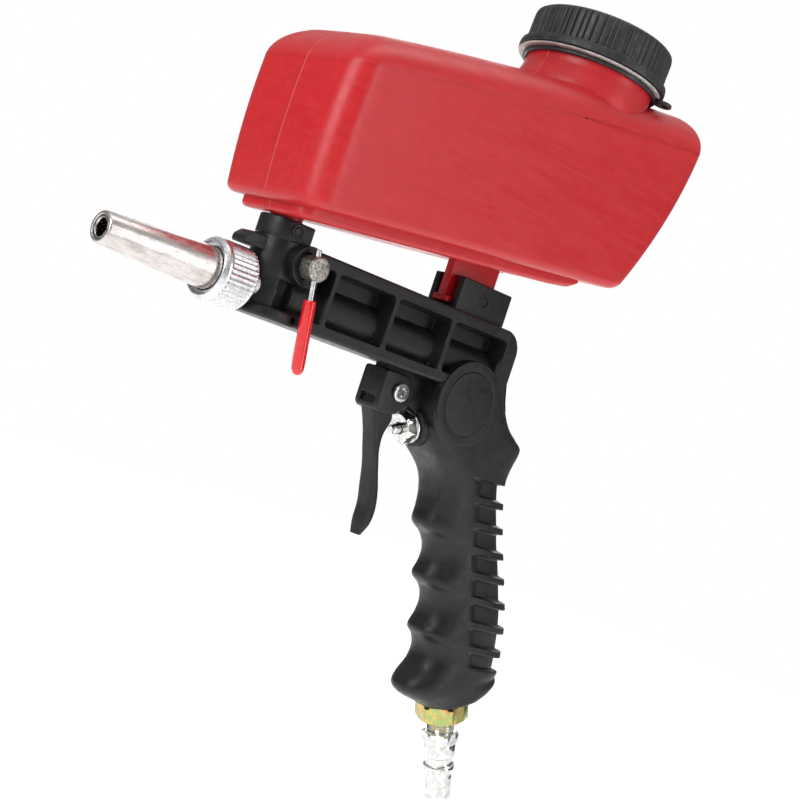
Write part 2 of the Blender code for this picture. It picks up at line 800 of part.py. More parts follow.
def nozzle_parts(gun, nut):
    face = COLUMN_X - COLUMN_RADIUS - GAP
    thread_front = NUT_BACK - NUT_LENGTH + NUT_LIP + 4.6
    thread_back = NUT_BACK + 1.3
    bush = [
        (thread_front, BUSH_BORE),
        (thread_front, BUSH_THREAD),
        (thread_back, BUSH_THREAD),
        (thread_back, BUSH_SHANK),
        (face + BUSH_LENGTH, BUSH_SHANK),
        (face + BUSH_LENGTH, BUSH_BORE),
    ]
    place("thread_bush", turned(bush, 32, "X"), bright_steel(), gun)
    seal_x = thread_front - GAP - SEAL_WIRE
    place("nozzle_seal", ring_seal(6.6, SEAL_WIRE, seal_x, "X"), seal_rubber(), gun)
    back = seal_x - SEAL_WIRE - GAP
    lip_back = NUT_BACK - NUT_LENGTH + NUT_LIP
    muzzle = back - NOZZLE_LENGTH
    bore = LINER_RADIUS + GAP
    tube_profile = [
        (muzzle, bore),
        (muzzle, MUZZLE_RADIUS - 0.5),
        (muzzle + 0.5, MUZZLE_RADIUS),
        (lip_back - NUT_LIP, TUBE_ROOT),
        (lip_back + GAP, TUBE_ROOT),
        (lip_back + GAP, NOZZLE_COLLAR),
        (back, NOZZLE_COLLAR),
        (back, bore),
    ]
    place("nozzle_tube", turned(tube_profile, 40, "X"), bright_steel(), gun)
    place("nozzle_liner", tube(LINER_RADIUS, LINER_BORE, muzzle + 0.4, back, "X", 24), chrome_plate(), gun)
    place("nozzle_nut", nut_shape(), knurled_aluminium(), nut)


def nut_shape():
    """A round nut with straight serrations; its front lip holds the nozzle's collar."""
    front = NUT_BACK - NUT_LENGTH
    lip_back = front + NUT_LIP
    bore = BUSH_THREAD + SLIDE_GAP
    steps = 2 * NUT_TEETH

    def loop(along, radius, teeth=0.0):
        points = []
        for k in range(steps):
            t = 2 * math.pi * k / steps
            r = radius - (teeth if k % 2 else 0)
            points.append((along, r * math.cos(t), r * math.sin(t)))
        return points

    profile = [
        loop(lip_back, TUBE_ROOT + SLIDE_GAP),
        loop(front + 1.2, TUBE_ROOT + SLIDE_GAP),
        loop(front + 1.2, NUT_RADIUS - 2.2),
        loop(front, NUT_RADIUS - 1.9),
        loop(front, NUT_RADIUS - 1.2),
        loop(front + 0.9, NUT_RADIUS, 0.45),
        loop(NUT_BACK - 0.6, NUT_RADIUS, 0.45),
        loop(NUT_BACK, NUT_RADIUS - 0.9),
        loop(NUT_BACK, bore),
        loop(lip_back, bore),
    ]
    return loft(profile, closed=True)


def air_jet(gun):
    """The brass jet that draws the media into the mixing chamber, with a seal behind it."""
    tip = JET_TIP_X
    back = tip + JET_LENGTH
    profile = [
        (tip, JET_BORE),
        (tip, JET_TIP - 0.6),
        (tip + 6, JET_TIP),
        (tip + 9, JET_RADIUS),
        (back, JET_RADIUS),
        (back, JET_BORE + 1),
        (back - 8, JET_BORE + 1),
        (back - 11, JET_BORE),
    ]
    place("air_jet", turned(profile, 24, "X"), brass(), gun)
    place("jet_seal", tube(JET_RADIUS, AIR_BORE - 0.4, back + GAP, back + 1.3, "X", 24), seal_rubber(), gun)


# Trigger -------------------------------------------------------------------------------------------------


def trigger_parts(gun, trigger):
    """The trigger's origin is its pivot. A curved lever hangs from a block with two ears around the tongue."""
    half = TONGUE_HALF + GAP + EAR_WALL
    front = -TRIGGER_FRONT
    lever = [
        (front, -8.4),
        (-3.4, -18),
        (2.2, -31),
        (5.9, -46),
        (6.6, -TRIGGER_REACH + 1.5),
        (8.2, -TRIGGER_REACH),
        (10.3, -TRIGGER_REACH + 4),
        (11.2, -TRIGGER_REACH + 12),
        (9.4, -40),
        (5.6, -31),
        (3.2, -24.5),
        (3.2, -16.5),
        (4.6, -8.4),
        (0, -4),
        (front, -4),
    ]
    blockface = [
        *arc(0, 0, EAR_RADIUS, -80, 72),
        (front + 0.4, 6.9),
        (front, 6.4),
        (front - 0.3, -8.0),
        (front + 2.6, -9.6),
        (1.0, -9.0),
    ]
    body = place("trigger", slab(blockface, -half, half), black_nylon(), trigger)
    inner = TONGUE_HALF + GAP
    gap_outline = [(front + 2.6, -5.6), (front + 2.6, 12), (20, 12), (20, -14), (-1.6, -7.6)]
    notch = block((front - 2, -3.2, -4.6), (front + 1.4, 3.2, -1.8))
    join(body, tool("trigger_lever", slab(lever, -TRIGGER_HALF, TRIGGER_HALF), trigger))
    cut(
        body,
        tool("tongue_gap", slab(gap_outline, -inner, inner), trigger),
        tool("trigger_notch", notch, trigger),
        tool("ear_holes", rod(PIN_RADIUS + GAP, -20, 20, "Y", 24), trigger),
    )
    ear = half + GAP
    screw = [
        (-ear - PIN_HEAD_HEIGHT, 0),
        (-ear - PIN_HEAD_HEIGHT, PIN_HEAD - 0.4),
        (-ear - PIN_HEAD_HEIGHT + 0.4, PIN_HEAD),
        (-ear, PIN_HEAD),
        (-ear, PIN_RADIUS),
        (ear + 1.1, PIN_RADIUS),
        (ear + 1.1, 0),
    ]
    pivot = (PIVOT_X, 0, PIVOT_Z)
    screw_obj = place("pivot_screw", turned(screw, 24, "Y"), bright_steel(), gun, pivot)
    socket = rod(1.9, -ear - PIN_HEAD_HEIGHT - 1, -ear - 0.4, "Y", 6)
    cut(screw_obj, tool("screw_socket", socket, gun, pivot))
    nut = tube(PIN_HEAD, PIN_RADIUS + GAP, ear, ear + PIN_HEAD_HEIGHT, "Y", 24)
    place("pivot_nut", nut, bright_steel(), gun, pivot)


# Air valve -----------------------------------------------------------------------------------------------


def air_valve(valve, plunger):
    """Along X of the grip's frame: gland nut, stem with its poppet, seal, seat and return spring."""
    head_back = BOSS_FRONT - GAP
    head_front = head_back - GLAND_HEAD
    bore = STEM_RADIUS + SLIDE_GAP
    hexagon_head = hexagon(GLAND_FLATS, head_front, head_back, 0.7, bore, "X", math.radians(12))
    gland = place("gland_nut", hexagon_head, chrome_plate(), valve)
    thread = tube(VALVE_BORE - GAP, bore, head_back - 1, head_back + GLAND_THREAD, "X", 24)
    join(gland, tool("gland_thread", thread, valve))
    cut(gland, tool("gland_seal_room", rod(4.1, head_back + 1.4, head_back + GLAND_THREAD + 1, "X", 24), valve))
    seal = ring_seal(STEM_RADIUS + 1.05, 0.7, head_back + GLAND_THREAD - 1.6, "X")
    place("stem_seal", seal, seal_rubber(), valve)
    seat_back = SEAT_U + SEAT_THICKNESS
    place("valve_seat", tube(VALVE_BORE - GAP, 3.3, SEAT_U, seat_back, "X", 24), brass(), valve)
    poppet_front = seat_back + GAP
    poppet_back = poppet_front + POPPET_THICKNESS
    stem = [(STEM_TIP, 0), (STEM_TIP, STEM_RADIUS - 0.4), (STEM_TIP + 0.4, STEM_RADIUS)]
    stem += [(poppet_front - 0.4, STEM_RADIUS), (poppet_front - 0.4, 1.2), (poppet_back + 1.6, 1.2), (poppet_back + 1.6, 0)]
    place("plunger", turned(stem, 24, "X"), chrome_plate(), plunger)
    poppet = tube(4.4, 1.2 + GAP, poppet_front, poppet_back, "X", 24)
    place("poppet", poppet, seal_rubber(), plunger)
    place("valve_spring", spring_shape(poppet_back + GAP, VALVE_END - GAP), dark_steel(), valve)


def spring_shape(low, high):
    """A round wire wound along X, with a free end at each side."""
    steps = 10 * SPRING_TURNS
    radius = 3.4
    loops = []
    start, end = low + SPRING_WIRE, high - SPRING_WIRE
    for k in range(steps + 1):
        t = 2 * math.pi * SPRING_TURNS * k / steps
        x = start + (end - start) * k / steps
        loop = []
        for j in range(6):
            a = 2 * math.pi * j / 6
            r = radius + SPRING_WIRE * math.cos(a)
            loop.append((x + SPRING_WIRE * math.sin(a), r * math.cos(t), r * math.sin(t)))
        loops.append(loop)
    return loft(loops)


# Air inlet -----------------------------------------------------------------------------------------------


def air_inlet(inlet):
    """Along Z of the grip's frame, pointing down: a seal, the yellow hexagon bush and the quick plug."""
    top = -GRIP_LENGTH - 1.3 - GAP
    shank = 8.0
    bush = hexagon(INLET_FLATS, top - INLET_HEAD, top, 1.0, PLUG_THREAD + GAP, "Z", math.radians(20))
    bush_obj = place("inlet_bush", bush, yellow_zinc(), inlet)
    shank_shape = tube(shank, PLUG_THREAD + GAP, top - 2, -GRIP_LENGTH + INLET_SHANK, "Z", 32)
    join(bush_obj, tool("inlet_shank", shank_shape, inlet))
    seal_top = -GRIP_LENGTH - GAP
    seal = tube(9.4, shank + GAP, top + GAP, seal_top, "Z", 32)
    place("inlet_seal", seal, seal_rubber(), inlet)
    low = top - INLET_HEAD
    body = [
        (low + 11, PLUG_BORE),
        (low + 11, PLUG_THREAD - 0.5),
        (low + 10, PLUG_THREAD),
        (low - 5.6, PLUG_THREAD),
        (low - 5.6, 6.8),
        (low - 11, 6.8),
        (low - 11.4, 7.0),
        (low - 17.2, 7.0),
        (low - 17.2, 6.0),
        (low - 19.8, 6.0),
        (low - 21.2, 6.8),
        (low - 23.4, 6.8),
        (low - 24.6, PLUG_NOSE + 0.3),
        (low - 36.4, PLUG_NOSE),
        (low - 37.2, PLUG_NOSE - 0.8),
        (low - 37.2, PLUG_BORE),
    ]
    plug = place("quick_plug", turned(body, 32), chrome_plate(), inlet)
    nut = hexagon(PLUG_FLATS, low - 11.2, low - 5.4, 0.8, 5.2, "Z", math.radians(20))
    join(plug, tool("plug_hexagon", nut, inlet))


# Hopper --------------------------------------------------------------------------------------------------


def base_line(x):
    return HOPPER_BASE_Z + HOPPER_BASE_SLOPE * x


def top_line(x):
    """The top rises to the rear, less and less steeply."""
    return HOPPER_TOP_Z + HOPPER_TOP_SLOPE * x - HOPPER_TOP_FALL * x * x


def round_corner(steps=4):
    return [math.pi / 2 * k / steps for k in range(steps + 1)]


def hopper_loop(share, shrink, wall):
    """One level of the hopper: a rounded rectangle on the slope between its base line and its top line."""
    front = HOPPER_FRONT - HOPPER_FRONT_BELLY * 4 * share * (1 - share) + shrink + wall
    lean = HOPPER_REAR_LEAN * (1 - (1 - share) ** 2)
    rear = HOPPER_FRONT + HOPPER_LENGTH + lean - shrink - wall
    half = (HOPPER_WIDTH_BASE + (HOPPER_WIDTH_TOP - HOPPER_WIDTH_BASE) * share) / 2 - shrink - wall
    radius = max(HOPPER_CORNER - shrink - wall, 2.5)
    corners = [
        (rear - radius, half - radius, 0),
        (front + radius, half - radius, 1),
        (front + radius, radius - half, 2),
        (rear - radius, radius - half, 3),
    ]
    loop = []
    for cx, cy, quarter in corners:
        for t in round_corner():
            a = t + quarter * math.pi / 2
            x = cx + radius * math.cos(a)
            low, high = base_line(x) + wall, top_line(x) - wall
            loop.append((x, cy + radius * math.sin(a), low + (high - low) * share))
    return loop


def hopper_shell(wall):
    """The closed tank, or with a wall the hollow inside it, as levels from the base to the top."""
    base_round = 3.0
    top_round = 11.0
    tall = HOPPER_TOP_Z - HOPPER_BASE_Z
    levels = []
    for t in (0.25, 0.6, 1.0):
        a = t * math.pi / 2
        levels.append(((1 - math.cos(a)) * base_round / tall, base_round * (1 - math.sin(a))))
    levels += [(0.27, 0), (0.5, 0), (0.7, 0)]
    for t in (0.0, 0.3, 0.6, 0.85, 1.0):
        a = t * math.pi / 2
        levels.append((1 - (1 - math.sin(a)) * top_round / tall, top_round * (1 - math.cos(a))))
    return loft([hopper_loop(share, shrink, wall) for share, shrink in levels])


def keel_shape():
    """A shallow step under the tank, narrower than it, with an upswept rear end."""
    front = HOPPER_FRONT + 4
    rear = HOPPER_FRONT + HOPPER_LENGTH - 16
    half = HOPPER_WIDTH_BASE / 2 - KEEL_INSET
    loops = []
    for drop, inset in ((-2.0, 0), (KEEL_DROP - 1.2, 0), (KEEL_DROP, 1.5)):
        loop = []
        radius = 6.0 - inset
        corners = ((rear, 1, 0), (front, 1, 1), (front, -1, 2), (rear, -1, 3))
        for edge, side, quarter in corners:
            cx = edge - inset - radius if edge == rear else edge + inset + radius
            cy = side * (half - inset - radius)
            for t in round_corner(3):
                a = t + quarter * math.pi / 2
                x = cx + radius * math.cos(a)
                loop.append((x, cy + radius * math.sin(a), base_line(x) - drop))
        loops.append(loop)
    return loft(loops)


def neck_frame_height():
    """Height of the neck's foot on the sloping top."""
    return top_line(NECK_X)


def hopper(gun, neck):
    """One blow-moulded piece: tank, keel, neck, the spout in the collar and the pinched tab in the socket."""
    body = place("hopper", hopper_shell(0), red_polyethylene(), gun)
    mouth = NECK_RISE
    neck_shape = turned([(-16, 0), (-16, NECK_RADIUS), (mouth, NECK_RADIUS), (mouth, 0)], 48)
    floor = BARREL_TOP + 0.4 + GAP
    spout = rod(SPOUT_RADIUS, floor, base_line(COLUMN_X) + 4)
    tab_front = SOCKET_FRONT - 2.0
    tab_low = BARREL_TOP + SOCKET_FLOOR + GAP
    tab_top = base_line(tab_front + TAB_LENGTH) + 1
    tab_rear = tab_front + TAB_LENGTH
    tab = block((tab_front, -TAB_HALF, tab_low), (tab_rear, TAB_HALF, tab_top))
    foot = block((tab_front, -TAB_FOOT, tab_low - 0.05), (tab_rear, TAB_FOOT, tab_low + 2.6))
    join(
        body,
        tool("keel", keel_shape(), gun),
        tool("neck", neck_shape, neck),
        tool("spout", spout, gun, (COLUMN_X, 0, 0)),
        tool("tab", tab, gun),
        tool("tab_foot", foot, gun),
    )
    cut(
        body,
        tool("tank_hollow", hopper_shell(HOPPER_WALL), gun),
        tool("neck_bore", rod(NECK_RADIUS - HOPPER_WALL, -18, mouth + 5, steps=48), neck),
        tool("spout_hole", rod(SPOUT_BORE, floor - 4, base_line(COLUMN_X) + 9, steps=24), gun, (COLUMN_X, 0, 0)),
    )


def hopper_cap(neck, cap):
    """The ribbed screw cap, its sealing disc, and the tether that keeps it on the gun."""
    top = NECK_RISE + CAP_ABOVE_MOUTH
    low = top - CAP_HEIGHT
    steps = 2 * CAP_RIBS
    bore = NECK_RADIUS + SLIDE_GAP

    def loop(along, radius, ribs=0.0):
        points = []
        for k in range(steps):
            t = 2 * math.pi * k / steps
            r = radius - (ribs if k % 2 else 0)
            points.append((r * math.cos(t), r * math.sin(t), along))
        return points

    shelf = low + CAP_FLANGE_HEIGHT
    profile = [
        loop(top - CAP_WALL, bore),
        loop(low, bore),
        loop(low, CAP_FLANGE - 0.4),
        loop(low + 0.4, CAP_FLANGE),
        loop(shelf - 0.4, CAP_FLANGE),
        loop(shelf, CAP_RADIUS, 0.6),
        loop(top - 1.6, CAP_RADIUS, 0.6),
        loop(top, CAP_RADIUS - 1.6),
    ]
    place("hopper_cap", loft(profile), cap_plastic(), cap)
    mouth = NECK_RISE
    seal_low, seal_high = mouth + GAP, top - CAP_WALL - GAP
    place("cap_seal", rod(NECK_RADIUS - 0.6, seal_low, seal_high, steps=40), milky_seal(), neck)
    lip_top = low - GAP
    lip_low = lip_top - LIP_THICKNESS
    lip = tube(CAP_FLANGE - 1.4, NECK_RADIUS + GAP, lip_low, lip_top, "Z", 40)
    place("neck_lip", lip, milky_seal(), neck)
    strap_top = lip_low - GAP
    strap_low = strap_top - STRAP_THICKNESS
    inner = NECK_RADIUS + GAP
    ring = place("tether_ring", tube(inner + STRAP_WIDTH, inner, strap_low, strap_top, "Z", 40), cap_plastic(), neck)
    eye_x = inner + STRAP_WIDTH + 3.2
    spin = math.radians(-50)
    offset = (eye_x * math.cos(spin), eye_x * math.sin(spin), 0)
    join(ring, tool("tether_eye", tube(4.0, 1.8, strap_low + 0.1, strap_top - 0.1, "Z", 16), neck, offset))


# Set screws ----------------------------------------------------------------------------------------------


def set_screw(name, parent, x, z, outer, inner):
    """A headless socket screw that presses on the hopper from the near side."""
    profile = [(-outer, 0), (-outer, 1.7), (-outer + 0.3, 2.0), (-inner - 0.5, 2.0), (-inner, 1.3), (-inner, 0)]
    screw = place(name, turned(profile, 16, "Y"), dark_steel(), parent, (x, 0, z))
    socket = rod(1.15, -outer - 1, -outer + 1.4, "Y", 6)
    cut(screw, tool(f"{name}_socket", socket, parent, (x, 0, z)))


def main():
    clear_scene()
    hold_x = GRIP_TOP + HOLD_BACK * math.cos(GRIP_RAKE) + HOLD_DOWN * math.sin(GRIP_RAKE)
    hold_z = HOLD_BACK * math.sin(GRIP_RAKE) - HOLD_DOWN * math.cos(GRIP_RAKE)
    gun = frame("barrel_zero", None, (-hold_x, 0, -hold_z))
    grip = frame("grip_axis", gun, (GRIP_TOP, 0, 0), (0, -GRIP_RAKE, 0))
    valve = frame("air_valve_axis", grip, (0, 0, -VALVE_DOWN))
    plunger = frame("plunger_slide", valve, (0, 0, 0))
    media = frame("media_valve_axis", gun, (LEVER_X, 0, LEVER_Z))
    trigger = frame("trigger_pivot", gun, (PIVOT_X, 0, PIVOT_Z))
    nut = frame("nozzle_nut_axis", gun, (0, 0, 0))
    neck = frame("neck_axis", gun, (NECK_X, 0, neck_frame_height()), (0, NECK_LEAN, 0))
    cap = frame("cap_axis", neck, (0, 0, 0))

    gun_body(gun, grip)
    nozzle_parts(gun, nut)
    air_jet(gun)
    media_spindle(media)
    media_lever(media)
    trigger_parts(gun, trigger)
    air_valve(valve, plunger)
    air_inlet(grip)
    hopper(gun, neck)
    hopper_cap(neck, cap)
    spout_side = SPOUT_RADIUS + GAP
    set_screw("front_set_screw", gun, COLUMN_X, BARREL_TOP + 3.8, COLLAR_RADIUS, spout_side)
    socket_middle = SOCKET_FRONT + SOCKET_LENGTH / 2
    set_screw("rear_set_screw", gun, socket_middle, BARREL_TOP + 7.2, SOCKET_HALF, TAB_HALF + GAP)


main()
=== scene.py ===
"""The looks of a gravity-feed abrasive blasting gun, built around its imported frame.

Every shape is worked out in millimetres, counted along the barrel from a point beside the lever, and metres()
moves it to the frame, whose origin is the middle of the grip.
"""

import math

import bmesh
import bpy
import numpy as np
from mathutils import Matrix


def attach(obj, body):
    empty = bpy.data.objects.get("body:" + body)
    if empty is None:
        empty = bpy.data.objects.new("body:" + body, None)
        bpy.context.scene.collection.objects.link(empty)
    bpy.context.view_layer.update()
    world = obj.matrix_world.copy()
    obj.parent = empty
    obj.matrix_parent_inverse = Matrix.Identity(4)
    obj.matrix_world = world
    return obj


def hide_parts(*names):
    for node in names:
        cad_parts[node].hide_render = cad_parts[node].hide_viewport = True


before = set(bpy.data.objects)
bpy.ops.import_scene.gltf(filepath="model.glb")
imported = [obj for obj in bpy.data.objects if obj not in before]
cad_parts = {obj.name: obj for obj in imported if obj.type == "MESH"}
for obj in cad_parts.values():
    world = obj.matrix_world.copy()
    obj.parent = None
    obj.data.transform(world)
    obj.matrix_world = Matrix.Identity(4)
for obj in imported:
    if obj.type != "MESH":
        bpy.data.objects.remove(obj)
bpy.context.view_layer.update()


# Gun body -----------------------------------------------------------------------------------------
# One black nylon moulding: an I-beam barrel with side pockets and a round air tube, a column for the media
# in front, and a raked grip. It is injection moulded, so its edges are soft and its faces faintly grained.

HOLD = np.array([146.0496, 0.0, -86.2610])
RAKE = math.radians(21.4)
GRIP_TOP = 105.8
BARREL = {"front": 2.0, "rear": 122.3, "top": 19.4, "bottom": -10.3, "half": 13.0}
RIBS = [17.2, 49.8, 82.4]
POCKET_LOW, POCKET_HIGH, POCKET_END = -5.8, 14.6, 115.0
WEB, FRONT_WEB, AIR_TUBE = 3.5, 4.2, 9.0


def metres(points):
    """Millimetres from the barrel's zero, turned to metres from the middle of the grip."""
    return (np.asarray(points, float).reshape(-1, 3) - HOLD) / 1000


def raked(points):
    """Turns points of the grip's own frame, whose Z runs up the grip, to the barrel's."""
    p = np.asarray(points, float)
    c, s = math.cos(RAKE), math.sin(RAKE)
    x = GRIP_TOP + p[..., 0] * c - p[..., 2] * s
    return np.stack([x, p[..., 1], p[..., 0] * s + p[..., 2] * c], -1)


def shell(grid, closed=False):
    """Points and faces of a grid of rings: each ring closes on itself, and the ends are capped unless the
    last ring also joins the first."""
    n, m = grid.shape[:2]
    index = np.arange(n * m).reshape(n, m)
    index = np.concatenate([index, index[:, :1]], axis=1)
    if closed:
        index = np.concatenate([index, index[:1]], axis=0)
    quads = np.stack([index[:-1, :-1], index[:-1, 1:], index[1:, 1:], index[1:, :-1]], -1)
    faces = quads.reshape(-1, 4).tolist()
    if not closed:
        faces += [index[0, :m][::-1].tolist(), index[-1, :m].tolist()]
    return grid.reshape(-1, 3), faces


def piece(name, shells, material, body, nodes, sharp=38.0):
    """One object from several closed shells, riding on a body and standing for CAD nodes."""
    points, faces, start = [], [], 0
    for more, its_faces in shells:
        points.append(more)
        faces += [[start + k for k in face] for face in its_faces]
        start += len(more)
    mesh = bpy.data.meshes.new(name)
    mesh.from_pydata(metres(np.concatenate(points)), [], faces)
    work = bmesh.new()
    work.from_mesh(mesh)
    bmesh.ops.remove_doubles(work, verts=work.verts, dist=1e-7)
    bmesh.ops.recalc_face_normals(work, faces=work.faces)
    work.to_mesh(mesh)
    work.free()
    mesh.materials.append(material)
    mesh.shade_smooth()
    mesh.set_sharp_from_angle(angle=math.radians(sharp))
    obj = bpy.data.objects.new(name, mesh)
    bpy.context.scene.collection.objects.link(obj)
    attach(obj, body)
    if nodes:
        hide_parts(*nodes)
    return obj


def linear(code):
    """An sRGB hex colour as linear red, green, blue and alpha."""
    parts = np.array([int(code[k : k + 2], 16) / 255 for k in (1, 3, 5)])
    values = np.where(parts <= 0.04045, parts / 12.92, ((parts + 0.055) / 1.055) ** 2.4)
    return (*values.tolist(), 1.0)


def add(tree, kind, inputs=None, **settings):
    """A shader node with its settings. An input given as a socket is linked; any other is a plain value."""
    made = tree.nodes.new("ShaderNode" + kind)
    for key, value in settings.items():
        setattr(made, key, value)
    for key, value in (inputs or {}).items():
        if isinstance(value, bpy.types.NodeSocket):
            tree.links.new(value, made.inputs[key])
        else:
            made.inputs[key].default_value = value
    return made


def surface_place(tree, stretch=(1, 1, 1), turn=(0, 0, 0)):
    """Object coordinates in millimetres, stretched or turned for grain that runs one way."""
    place = add(tree, "TexCoord").outputs["Object"]
    scale = tuple(1000 / k for k in stretch)
    return add(tree, "Mapping", {"Vector": place, "Scale": scale, "Rotation": turn}).outputs["Vector"]


def noise(tree, place, size, detail=4.0, roughness=0.55):
    """Noise whose grains are about this many millimetres across, from 0 to 1."""
    inputs = {"Vector": place, "Scale": 1 / size, "Detail": detail, "Roughness": roughness}
    return add(tree, "TexNoise", inputs).outputs["Fac"]


def spread(tree, value, low, high, start=0.35, stop=0.65):
    """Carries a value from one range to another, smoothly."""
    inputs = {"Value": value, "From Min": start, "From Max": stop, "To Min": low, "To Max": high}
    return add(tree, "MapRange", inputs, interpolation_type="SMOOTHSTEP").outputs["Result"]


def between(tree, share, first, second):
    """Mixes two colours, given as hex or as sockets."""
    made = add(tree, "Mix", {0: share}, data_type="RGBA")
    for slot_number, colour in ((6, first), (7, second)):
        if isinstance(colour, str):
            made.inputs[slot_number].default_value = linear(colour)
        else:
            tree.links.new(colour, made.inputs[slot_number])
    return made.outputs[2]


def bumped(tree, height, distance, strength=1.0, under=None):
    """A bump of this height in millimetres, over another bump if one is given."""
    inputs = {"Height": height, "Distance": distance / 1000, "Strength": strength}
    if under is not None:
        inputs["Normal"] = under
    return add(tree, "Bump", inputs).outputs["Normal"]


def finish(name, colour, roughness, metallic=0.0, normal=None, **plain):
    """A Principled material. Colour and roughness are values, or functions that make a socket."""
    material = bpy.data.materials.new(name)
    material.use_nodes = True
    tree = material.node_tree
    shader = tree.nodes["Principled BSDF"]
    shader.inputs["Metallic"].default_value = metallic
    for key, value in plain.items():
        shader.inputs[key.replace("_", " ")].default_value = value
    for key, value in (("Base Color", colour), ("Roughness", roughness), ("Normal", normal)):
        if callable(value):
            tree.links.new(value(tree), shader.inputs[key])
        elif isinstance(value, str):
            shader.inputs[key].default_value = linear(value)
        elif value is not None:
            shader.inputs[key].default_value = value
    return material


def nylon_colour(tree):
    """Near black, a little greyer in soft patches where handling has dulled it."""
    patch = noise(tree, surface_place(tree), 9.0)
    fleck = noise(tree, surface_place(tree), 0.35, 2.0)
    worn = between(tree, spread(tree, patch, 0.0, 1.0), "#101011", "#171719")
    return between(tree, spread(tree, fleck, 0.0, 0.3, 0.58, 0.8), worn, "#2a2b2d")


def clouds(size, low, high, detail=4.0, stretch=(1, 1, 1)):
    """A value that drifts from low to high in patches this many millimetres across."""
    return lambda tree: spread(tree, noise(tree, surface_place(tree, stretch), size, detail), low, high)


def two_tone(size, first, second, detail=4.0):
    """A colour that drifts between two in patches this many millimetres across."""
    return lambda tree: between(tree, clouds(size, 0.0, 1.0, detail)(tree), first, second)


def nylon_grain(tree):
    """Fine spark-eroded grain over a slow waviness from shrinkage."""
    wave = bumped(tree, noise(tree, surface_place(tree), 14.0, 1.0), 0.5, 0.5)
    return bumped(tree, noise(tree, surface_place(tree), 0.22, 2.0), 0.02, 0.6, wave)


black_nylon = finish(
    "black nylon, satin moulded", nylon_colour, clouds(3.0, 0.36, 0.5), 0.0, nylon_grain,
    Specular_IOR_Level=0.35,
)


def soften(points, radius, closed=False, steps=3):
    """A line of points whose corners become short parabolas that start and end this far from them."""
    points = np.asarray(points, float)
    share = np.linspace(0, 1, steps + 1)[:, None]
    out = []
    for i, corner in enumerate(points):
        if not closed and i in (0, len(points) - 1):
            out.append(corner[None])
            continue
        before, after = points[i - 1] - corner, points[(i + 1) % len(points)] - corner
        near, far = np.linalg.norm(before), np.linalg.norm(after)
        start = corner + before / near * min(radius, 0.45 * near)
        end = corner + after / far * min(radius, 0.45 * far)
        out.append((1 - share) ** 2 * start + 2 * share * (1 - share) * corner + share**2 * end)
    return np.concatenate(out)


def plate(outline, low, high, edge=0.6, axis="z", steps=4):
    """An outline carried from low to high, drawn in by a quarter circle of this radius at both ends."""
    outline = np.asarray(outline, float)
    ahead, behind = np.roll(outline, -1, 0), np.roll(outline, 1, 0)
    area = (outline[:, 0] * ahead[:, 1] - ahead[:, 0] * outline[:, 1]).sum()
    along = ahead - behind
    out = np.stack([along[:, 1], -along[:, 0]], 1) * np.sign(area)
    out /= np.linalg.norm(out, axis=1, keepdims=True)
    t = np.linspace(0, math.pi / 2, steps + 1)
    inset = edge * np.concatenate([1 - np.sin(t), 1 - np.cos(t)])
    level = np.concatenate([low + edge * (1 - np.cos(t)), high - edge * (1 - np.sin(t))])
    flat = outline[None] - out[None] * inset[:, None, None]
    tall = np.broadcast_to(level[:, None], flat.shape[:2])
    if axis == "z":
        return shell(np.stack([flat[..., 0], flat[..., 1], tall], -1))
    return shell(np.stack([flat[..., 0], tall, flat[..., 1]], -1))


def lathe(profile, axis="x", centre=(0, 0, 0), steps=96, wave=None, closed=False, local=None):
    """A profile of (along, radius) turned about an axis. A wave changes the radius by angle and place."""
    profile = np.asarray(profile, float)
    turn = np.linspace(0, 2 * math.pi, steps, endpoint=False)
    along = np.broadcast_to(profile[:, :1], (len(profile), steps))
    radius = np.broadcast_to(profile[:, 1:], (len(profile), steps))
    if wave is not None:
        radius = radius + wave(turn[None], along, radius)
    a, b = radius * np.cos(turn), radius * np.sin(turn)
    order = {"x": (along, a, b), "y": (a, along, b), "z": (a, b, along)}[axis]
    grid = np.stack(order, -1) + np.asarray(centre, float)
    return shell(local(grid) if local else grid, closed)


def curve(keys, at):
    """A smooth line through (place, value) keys, read at these places: cubic pieces with matched slopes."""
    keys = np.asarray(keys, float)
    at = np.clip(at, keys[0, 0], keys[-1, 0])
    slope = np.gradient(keys[:, 1], keys[:, 0])
    i = np.clip(np.searchsorted(keys[:, 0], at, side="right") - 1, 0, len(keys) - 2)
    span = keys[i + 1, 0] - keys[i, 0]
    t = (at - keys[i, 0]) / span
    start = (2 * t**3 - 3 * t**2 + 1) * keys[i, 1] + (t**3 - 2 * t**2 + t) * slope[i] * span
    return start + (3 * t**2 - 2 * t**3) * keys[i + 1, 1] + (t**3 - t**2) * slope[i + 1] * span


def step(value, start, stop):
    """0 before start, 1 after stop, and smooth between them."""
    t = np.clip((value - start) / (stop - start), 0, 1)
    return t * t * (3 - 2 * t)


def box_distance(x, z, x0, x1, z0, z1, corner):
    """How far a point is inside (below 0) or outside a rectangle with round corners."""
    qx = np.abs(x - (x0 + x1) / 2) - (x1 - x0) / 2 + corner
    qz = np.abs(z - (z0 + z1) / 2) - (z1 - z0) / 2 + corner
    away = np.hypot(np.maximum(qx, 0), np.maximum(qz, 0))
    return away + np.minimum(np.maximum(qx, qz), 0) - corner


def stations(edges, low, high, coarse, reach=0.9, count=9):
    """Places from low to high, crowded around each edge so that a steep wall stays crisp."""
    near = [edge + np.linspace(-reach, reach, count) for edge in edges]
    every = np.unique(np.round(np.concatenate([np.arange(low, high, coarse), [high], *near]), 3))
    return every[(every >= low) & (every <= high)]


